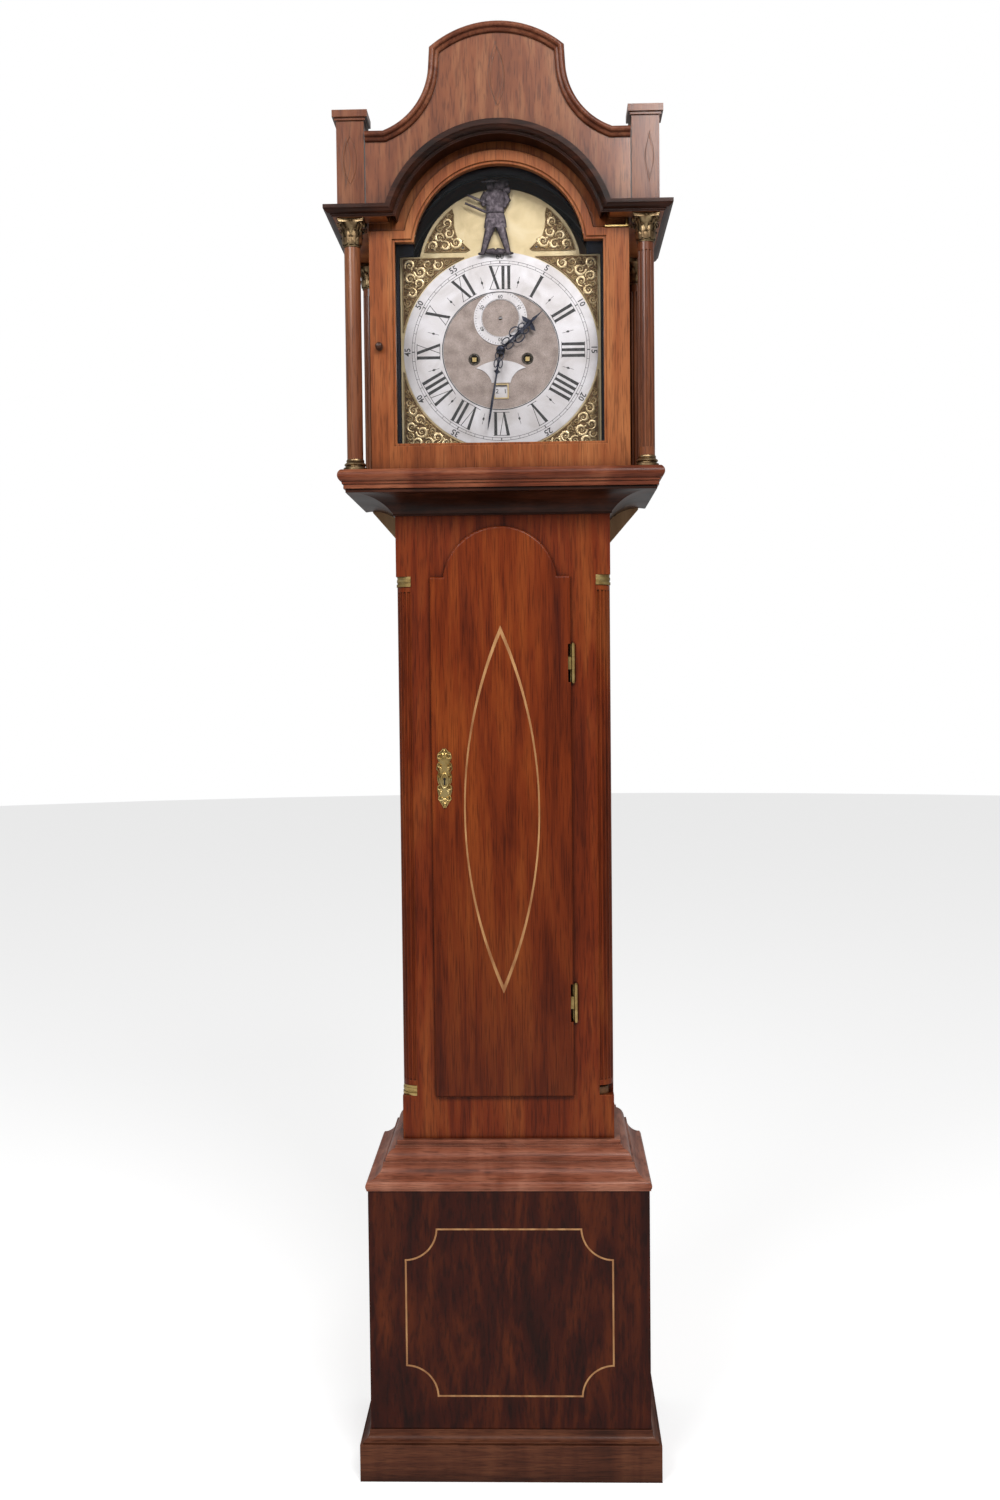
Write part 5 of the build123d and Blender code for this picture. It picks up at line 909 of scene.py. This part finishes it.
# Date figures. Thirty-one numbers, cut and waxed on the silvered ring behind the dial. The one at its
# foot shows in the aperture.
dates = ((cad_high.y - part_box("date_ring")[0].y) / mm, dial_z)
first_date, date_reach = 17, 60
bm = bmesh.new()
for day in range(31):
    number = (day + first_date - 1) % 31 + 1
    figures(bm, dates, str(number), 9.0, 180 + day * 360 / 31, -date_reach)
piece("date_figures", bm, "date_ring", wax, 30)


# Spandrels. Cast and gilded brass in the dial's corners and at the sides of its arch: a thin ground with a
# raised edge, filled with scrolls, leaves and one larger boss each, and pinned to the plate. The ground and
# the low parts are painted dark as shade, where a real casting is pierced.
def packed_scrolls(inside, zone, largest_boss, largest, smallest, count):
    """Circles that fill an outline: one boss and then the widest that fit; inside gives the room."""
    (x0, x1), (z0, z1) = zone
    step = 1.5
    grid = [(x0 + step * i, z0 + step * k) for i in range(int((x1 - x0) / step) + 1)
            for k in range(int((z1 - z0) / step) + 1)]
    boss_x, boss_z, boss_radius = largest_boss
    room = {place: min(inside(*place), largest, hypot(place[0] - boss_x, place[1] - boss_z) - boss_radius)
            for place in grid}
    chosen = [largest_boss]
    while len(chosen) < count:
        place = max(room, key=room.get)
        radius = room[place]
        if radius < smallest:
            break
        chosen.append((*place, radius))
        for other in room:
            gap = hypot(other[0] - place[0], other[1] - place[1]) - radius * 0.93
            room[other] = min(room[other], gap)
    return chosen


def casting(bm, outline, circles, side, edge_half, edge_rise):
    """Ground, raised edge and scrollwork of one spandrel; side is -1 for a mirrored one."""
    edge = [(side * x, z) for x, z in outline]
    plate(bm, edge, dial_front, 0.7)
    ribbon(bm, edge, [edge_half] * len(edge), dial_front, edge_rise, closed=True)
    near, rise = dial_front + 0.4, cast_rise - 0.6
    for n, (x, z, radius) in enumerate(circles):
        start = (n * 2.4) % (2 * pi)
        way = 1 if n % 2 else -1
        points, widths = volute(x, z, radius, start, 1.35, way)
        ribbon(bm, [(side * a, b) for a, b in points], widths, near, rise * min(1, 0.75 + radius / 14))
        if radius > 3.2:
            boss(bm, side * x, z, radius * 0.24, near, rise * 1.05)
            for k in range(3):
                angle = degrees(start) + 120 * k + 40
                leaf_x = x + radius * 0.6 * cos(radians(angle))
                leaf_z = z + radius * 0.6 * sin(radians(angle))
                aim = angle if side > 0 else 180 - angle
                leaf(bm, side * leaf_x, leaf_z, aim, radius * 0.62, radius * 0.22, near, rise * 0.75)


low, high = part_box("dial_spandrels")
cast_rise = (cad_high.y - low.y) / mm - dial_front
corner_half, lower_edge, upper_edge = high.x / mm, low.z / mm, dial_z + 139
ring_room = ring_outer + 3
arch_low, arch_mid = dial_z + 148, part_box("dial_plate")[1].z / mm - 122


def corner_outline(edge_z):
    """Corner between the chapter ring and the plate's edges, up to the height edge_z."""
    edge = edge_z - dial_z
    up = 1 if edge > 0 else -1
    reach_x, reach_z = sqrt(ring_room ** 2 - edge ** 2), sqrt(ring_room ** 2 - corner_half ** 2)
    start, end = degrees(atan2(up * reach_z, corner_half)), degrees(atan2(edge, reach_x))
    return arc(0, dial_z, ring_room, end, start, 20) + [(corner_half, edge_z)]


def arch_room(x, z):
    """Room in the arch's side piece: hollow on its inner side, with a foot that spreads at the bottom."""
    inner = max(hypot(x, z - arch_low - 47) - 69, 0.7 * (x - 42 - 1.05 * (z - arch_low)))
    return min(117 - hypot(x, z - arch_mid), hypot(x, z - dial_z) - ring_room, z - arch_low, inner) - 1.2


def arch_outline(x, z):
    """Outline of the arch's side piece, felt out every six degrees from a point inside it."""
    outline = []
    for angle in range(0, 360, 6):
        step_x, step_z = cos(radians(angle)), sin(radians(angle))
        reach = 0
        while arch_room(x + step_x * reach, z + step_z * reach) > -1.0 and reach < 80:
            reach += 0.5
        outline.append((x + step_x * reach, z + step_z * reach))
    return outline


bm = bmesh.new()
for edge_z in (lower_edge, upper_edge):
    up = 1 if edge_z > dial_z else -1

    def corner_room(x, z):
        """Room in a corner piece."""
        return min(hypot(x, z - dial_z) - ring_room, corner_half - x, up * (edge_z - z)) - 1.6

    zone = (20, corner_half), tuple(sorted((dial_z + up * 25, edge_z)))
    circles = packed_scrolls(corner_room, zone, (120, dial_z + up * 119, 9.5), 8.0, 1.8, 52)
    for side in (-1, 1):
        casting(bm, corner_outline(edge_z), circles, side, 1.1, cast_rise * 0.72)
        boss(bm, side * (corner_half - 9), edge_z - up * 9, 2.4, dial_front, cast_rise)
zone = (40, 116), (arch_low, arch_low + 80)
circles = packed_scrolls(arch_room, zone, (65, arch_low + 13.5, 9), 7.5, 1.6, 44)
for side in (-1, 1):
    casting(bm, arch_outline(86, arch_low + 16), circles, side, 0.9, cast_rise * 0.7)
cast_brass, tree, shader = finish("cast_spandrel_brass", 0.36, 0.6)
colour = ramp(tree, noise(tree, 80, 4, 0.4), (0.3, (0.42, 0.30, 0.15)), (0.55, (0.66, 0.51, 0.29)),
              (0.8, (0.86, 0.72, 0.48)))
# Painted shade: the brass darkens the nearer it lies to the dial plate, for the shade between the scrolls.
raised = add(tree, "MapRange", Value=axes(tree)["Y"], From_Min=spot(0, dial_front + 0.7, 0).y,
             From_Max=spot(0, dial_front + 1.5, 0).y)
shade = ramp(tree, raised.outputs[0], (0.0, (0.20, 0.14, 0.09)), (1.0, (1, 1, 1)))
put(tree, shader["Base Color"], blend(tree, 1.0, colour, shade, "MULTIPLY"))
put(tree, shader["Normal"], bump(tree, noise(tree, 700, 3), 0.0001))
spandrels = piece("spandrel_castings", bm, "case", cast_brass, 50)
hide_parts("dial_spandrels")

# Spandrel screws. Small blued steel screws with tapered heads go through the castings near their outer
# corners, into the dial plate.
bm = bmesh.new()
for side in (-1, 1):
    for x, z in ((139, upper_edge - 7), (139, lower_edge + 7), (55, arch_low + 5), (100, arch_low + 5)):
        place = Matrix.Translation(spot(side * x, dial_front + 1.2, z)) @ Matrix.Rotation(pi / 2, 4, "X")
        bmesh.ops.create_cone(bm, cap_ends=True, segments=16, radius1=1.9 * mm, radius2=1.5 * mm,
                              depth=2.0 * mm, matrix=place)
piece("spandrel_screws", bm, "case", blued)

# Hands. Blued steel, pierced and filed by hand: the hour hand on its pipe, with a cross-shaped head, and
# the longer minute hand in front of it on the arbor. Each is drawn at twelve and then turned.
thick, hour_angle, minute_angle = 1.4, 48.0, 189.65
hour_near = (cad_high.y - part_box("hour_hand")[1].y) / mm
minute_near = (cad_high.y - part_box("minute_hand")[1].y) / mm


def hoop(bm, points, half):
    """A thin closed strip round a loop of the hand."""
    count = len(points)
    inner, outer = [], []
    for n, (u, v) in enumerate(points):
        before, after = points[n - 1], points[(n + 1) % count]
        along = Vector((after[0] - before[0], after[1] - before[1])).normalized()
        inner.append(((u - along.y * half) * mm, 0, (v + along.x * half) * mm))
        outer.append(((u + along.y * half) * mm, 0, (v - along.x * half) * mm))
    band(bm, inner, outer, (0, -thick * mm, 0))


def blade(bm, points):
    """A flat part of a hand from (across, out) points."""
    face = bm.faces.new([bm.verts.new((u * mm, 0, v * mm)) for u, v in points])
    thicken(bm, [face], (0, -thick * mm, 0))


def oval(u, v, half_u, half_v, count=20):
    """A loop of points; a negative half_u draws it the other way round."""
    turns = [2 * pi * n / count for n in range(count)]
    return [(u + half_u * cos(turn), v + half_v * sin(turn)) for turn in turns]


def both_sides(points):
    """An outline from its right half, listed from the foot to the tip."""
    return points + [(-u, v) for u, v in reversed(points)]


def hang(bm, angle, near):
    """Turns a hand and moves it to its depth."""
    place = Matrix.Translation(spot(0, near, dial_z)) @ Matrix.Rotation(radians(angle), 4, "Y")
    bmesh.ops.transform(bm, matrix=place, verts=bm.verts)


bm = bmesh.new()
hoop(bm, oval(0, 0, 5.4, 5.4), 1.3)
blade(bm, [(-1.6, 6), (1.6, 6), (1.1, 14), (1.6, 30), (2.4, 38), (-2.4, 38), (-1.6, 30), (-1.1, 14)])
for side in (-1, 1):
    for u, v, half_u, half_v, count, half in ((4.6, 14, 3.8, 6.5, 18, 0.8), (6.6, 33, 5.2, 8.0, 20, 0.9),
                                              (5.0, 46.5, 3.4, 5.0, 16, 0.8)):
        hoop(bm, oval(side * u, v, side * half_u, half_v, count), half)
    blade(bm, [(side * u, v) for u, v in ((2, 56), (9, 53.5), (15.5, 57), (9.5, 60), (2, 62))])
    blade(bm, [(side * u, v) for u, v in ((4.5, 22), (7.5, 24.5), (5.5, 27), (3.0, 25))])
blade(bm, both_sides([(2.4, 38), (1.3, 48), (3.4, 56), (1.7, 64), (2.5, 68), (1.1, 74), (0.1, 86)]))
hang(bm, hour_angle, hour_near)
hour_hand = piece("hour_hand_pierced", bm, "hour", blued, 30)
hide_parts("hour_hand")

bm = bmesh.new()
hoop(bm, oval(0, 0, 3.6, 3.6), 1.4)
for side in (-1, 1):
    for u, v, half_u, half_v in ((3.3, 10, 2.8, 5.0), (3.6, 22, 2.6, 6.0)):
        hoop(bm, oval(side * u, v, side * half_u, half_v, 16), 0.7)
    blade(bm, [(side * u, v) for u, v in ((1.2, 31), (5.2, 33.5), (1.2, 37))])
blade(bm, both_sides([(1.2, 4), (1.0, 28), (2.2, 34), (1.2, 41), (1.9, 70), (1.5, 105), (0.1, 122)]))
hang(bm, minute_angle, minute_near)
minute_hand = piece("minute_hand_pierced", bm, "centre", blued, 30)
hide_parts("minute_hand")

bm = bmesh.new()
lathe(bm, ((0, 0), (4.6, 0), (5.2, 0.5), (4.4, 1.2), (2.6, 1.6), (2.4, 2.4), (0, 2.6)), 28)
place = Matrix.Translation(spot(0, minute_near + thick, dial_z)) @ Matrix.Rotation(pi / 2, 4, "X")
bmesh.ops.transform(bm, matrix=place, verts=bm.verts)
piece("minute_hand_collet", bm, "centre", blued)


# Figure of the arch. A small flat figure of cast pewter in a belted coat and a wide hat, with a pack and
# two poles. It rocks on a stud with the pendulum. Its face is plain and calm.
def limb(bm, places, radii, flat=0.75, sides=12):
    """A rounded limb through (x, depth, z) places."""
    back = Vector((0, 1, 0))
    turns = [2 * pi * k / sides for k in range(sides)]
    rings = []
    for n, (place, radius) in enumerate(zip(places, radii)):
        along = spot(*places[min(n + 1, len(places) - 1)]) - spot(*places[max(n - 1, 0)])
        along.normalize()
        side = along.cross(back)
        side = side.normalized() if side.length > 1e-4 else Vector((1, 0, 0))
        rings.append([spot(*place) + (side * cos(turn) * radius + back * sin(turn) * radius * flat) * mm
                      for turn in turns])
    skin(bm, rings)


def lump(bm, place, halves, tilt=0.0):
    """A rounded lump with its half sizes in X, Y and Z."""
    matrix = Matrix.Translation(spot(*place)) @ Matrix.Rotation(tilt, 4, "Y")
    matrix = matrix @ Matrix.Diagonal((*[half * mm for half in halves], 1))
    bmesh.ops.create_icosphere(bm, subdivisions=3, radius=1, matrix=matrix)


low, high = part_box("automaton_figure")
figure_x, figure_foot = -5.9, low.z / mm + 1.0
figure_depth = (cad_high.y - (low.y + high.y) / 2) / mm


def at(x, up, front=0.0):
    """A place on the figure from its middle line, its foot and its middle plane."""
    return figure_x + x, figure_depth + front, figure_foot + up


bm = bmesh.new()
for side in (-1, 1):
    leg = ((4, 52), (8, 40), (13, 24), (17.5, 8), (19.5, 2))
    limb(bm, [at(side * x, up) for x, up in leg], (7.6, 7.2, 5.6, 4.2, 3.6), 0.4)
    lump(bm, at(side * 21.5, 1.8, 0.5), (5.4, 2.4, 2.2))
limb(bm, [at(0, up) for up in (40, 50, 62, 76, 88, 95, 99)], (17, 16, 13, 14.5, 16.5, 13, 5), 0.17)
limb(bm, [at(-13, 92), at(-19, 82), at(-17, 72)], (5.0, 4.4, 3.2), 0.5)
limb(bm, [at(13, 92), at(19, 80), at(13, 70)], (5.0, 4.4, 3.4), 0.5)
limb(bm, [at(-13.5, 63, 0.4), at(0, 62, 1.0), at(13.5, 63, 0.4)], (1.5, 1.5, 1.5), 1.6)
for button in (58, 66, 74, 82):
    lump(bm, at(0.6, button, 2.5), (0.9, 0.5, 0.9))
lump(bm, at(9, 103, -0.5), (12.5, 2.3, 8.6), -0.5)
lump(bm, at(17, 95, -0.3), (6.5, 2.2, 6.5), 0.3)
lump(bm, at(0, 5.2, -0.6), (16.5, 2.3, 5.2))
limb(bm, [at(-8, 73, 1), at(-26, 81.5, 1), at(-41, 88.5, 1)], (2.1, 2.1, 1.8), 0.7)
limb(bm, [at(-12, 62, 1), at(-32, 71, 1), at(-45, 76.5, 1)], (2.0, 1.9, 1.7), 0.7)
head, brow = -7, 104.5
lump(bm, at(head, 102), (6.4, 2.7, 7.6))
limb(bm, [at(head - 13.5, 107.4), at(head, 108.8), at(head + 13.0, 107.6)], (1.0, 1.7, 1.0), 1.7)
lump(bm, at(head, 109.4), (7.0, 2.7, 3.9))
for side in (-1, 1):
    lump(bm, at(head + side * 2.3, brow - 0.8, 2.2), (0.85, 0.4, 0.5))
    lump(bm, at(head + side * 2.4, brow + 0.5, 2.1), (1.5, 0.4, 0.35))
limb(bm, [at(head, brow - 0.2, 2.3), at(head, brow - 3.0, 2.9)], (0.6, 1.0), 0.7, 8)
lump(bm, at(head, brow - 5.0, 2.2), (1.8, 0.4, 0.4))
pewter = brass("dark_pewter", (0.022, 0.016, 0.021), (0.062, 0.048, 0.058), (0.15, 0.125, 0.14), 0.45,
               scale=200, depth=0.0003, shade_reach=0.004, metal=0.7)
man = piece("arch_figure", bm, "figure", pewter, 60)
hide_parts("automaton_figure")

# Movement, bell, pendulum and weights. Brass plates and wheels, painted darker deep inside as shade, a bell
# of paler metal, a brass-faced bob on its rod, and two lead weights.
wheel_brass = brass("movement_brass", (0.36, 0.25, 0.10), (0.60, 0.44, 0.19), (0.80, 0.63, 0.32), 0.3,
                    shade_reach=0.03)
dress(wheel_brass, "movement_plates", "movement_pillars", "centre_arbor", "hour_wheel", "minute_wheel",
      "going_great_wheel", "third_wheel", "escape_wheel", "going_barrel", "strike_great_wheel",
      "strike_barrel", "pin_wheel")
dress(brass("bell_metal", (0.36, 0.30, 0.20), (0.56, 0.50, 0.38), (0.74, 0.68, 0.54), 0.24), "bell")
dress(brass("pendulum_brass_and_steel", (0.34, 0.24, 0.11), (0.56, 0.42, 0.20), (0.74, 0.58, 0.30), 0.33),
      "pendulum")
dress(brass("grey_lead", (0.10, 0.10, 0.105), (0.20, 0.20, 0.21), (0.34, 0.34, 0.35), 0.55),
      "going_weight", "strike_weight")

# Gut lines. Each runs down from its barrel through the seatboard, round the weight's pulley and up to a knot
# on the seatboard. The bend rides with the weight.
line_radius, line_sides, seat_z = 0.8, 10, 1594.0
gut, tree, shader = finish("twisted_gut", 0.5)
twist = add(tree, "TexWave", [("wave_type", "BANDS"), ("bands_direction", "DIAGONAL")],
            Vector=mapped(tree), Scale=900.0).outputs["Fac"]
put(tree, shader["Base Color"], ramp(tree, twist, (0.2, (0.34, 0.22, 0.10)), (0.8, (0.56, 0.42, 0.24))))
put(tree, shader["Normal"], bump(tree, twist, 0.0002))


def straight_line(bm, x, depth, *heights):
    """A taut length of gut through a row of heights."""
    limb(bm, [(x, depth, z) for z in heights], [line_radius] * len(heights), 1.0, line_sides)


for name in ("going", "strike"):
    low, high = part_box(name + "_line")
    left, right = low.x / mm + line_radius, high.x / mm - line_radius
    line_depth = (cad_high.y - (low.y + high.y) / 2) / mm
    axle_x, axle_z = (left + right) / 2, low.z / mm + (high.x - low.x) / 2 / mm

    bm = bmesh.new()
    for x in (left, right):
        straight_line(bm, x, line_depth, axle_z, (axle_z + seat_z) / 2, seat_z)
    runs = piece(name + "_line_runs", bm, "case", gut)
    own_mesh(runs)
    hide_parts(name + "_line")

    rings = []
    for x, z in arc(axle_x, axle_z, (right - left) / 2, 180, 360, 24):
        outward = Vector((x - axle_x, 0, z - axle_z)).normalized()
        turns = [2 * pi * k / line_sides for k in range(line_sides)]
        rings.append([spot(x, line_depth, z)
                      + (outward * cos(turn) + Vector((0, 1, 0)) * sin(turn)) * line_radius * mm
                      for turn in turns])
    bm = bmesh.new()
    skin(bm, rings)
    piece(name + "_line_bend", bm, name + "_weight", gut)

    bm = bmesh.new()
    straight_line(bm, left, line_depth, seat_z, (seat_z + winding_z) / 2, winding_z)
    straight_line(bm, right, line_depth, seat_z, seat_z + 9, seat_z + 19)
    lump(bm, (right, line_depth, seat_z + 20.5), (3.2, 3.2, 2.6))
    piece(name + "_line_top", bm, "case", gut)
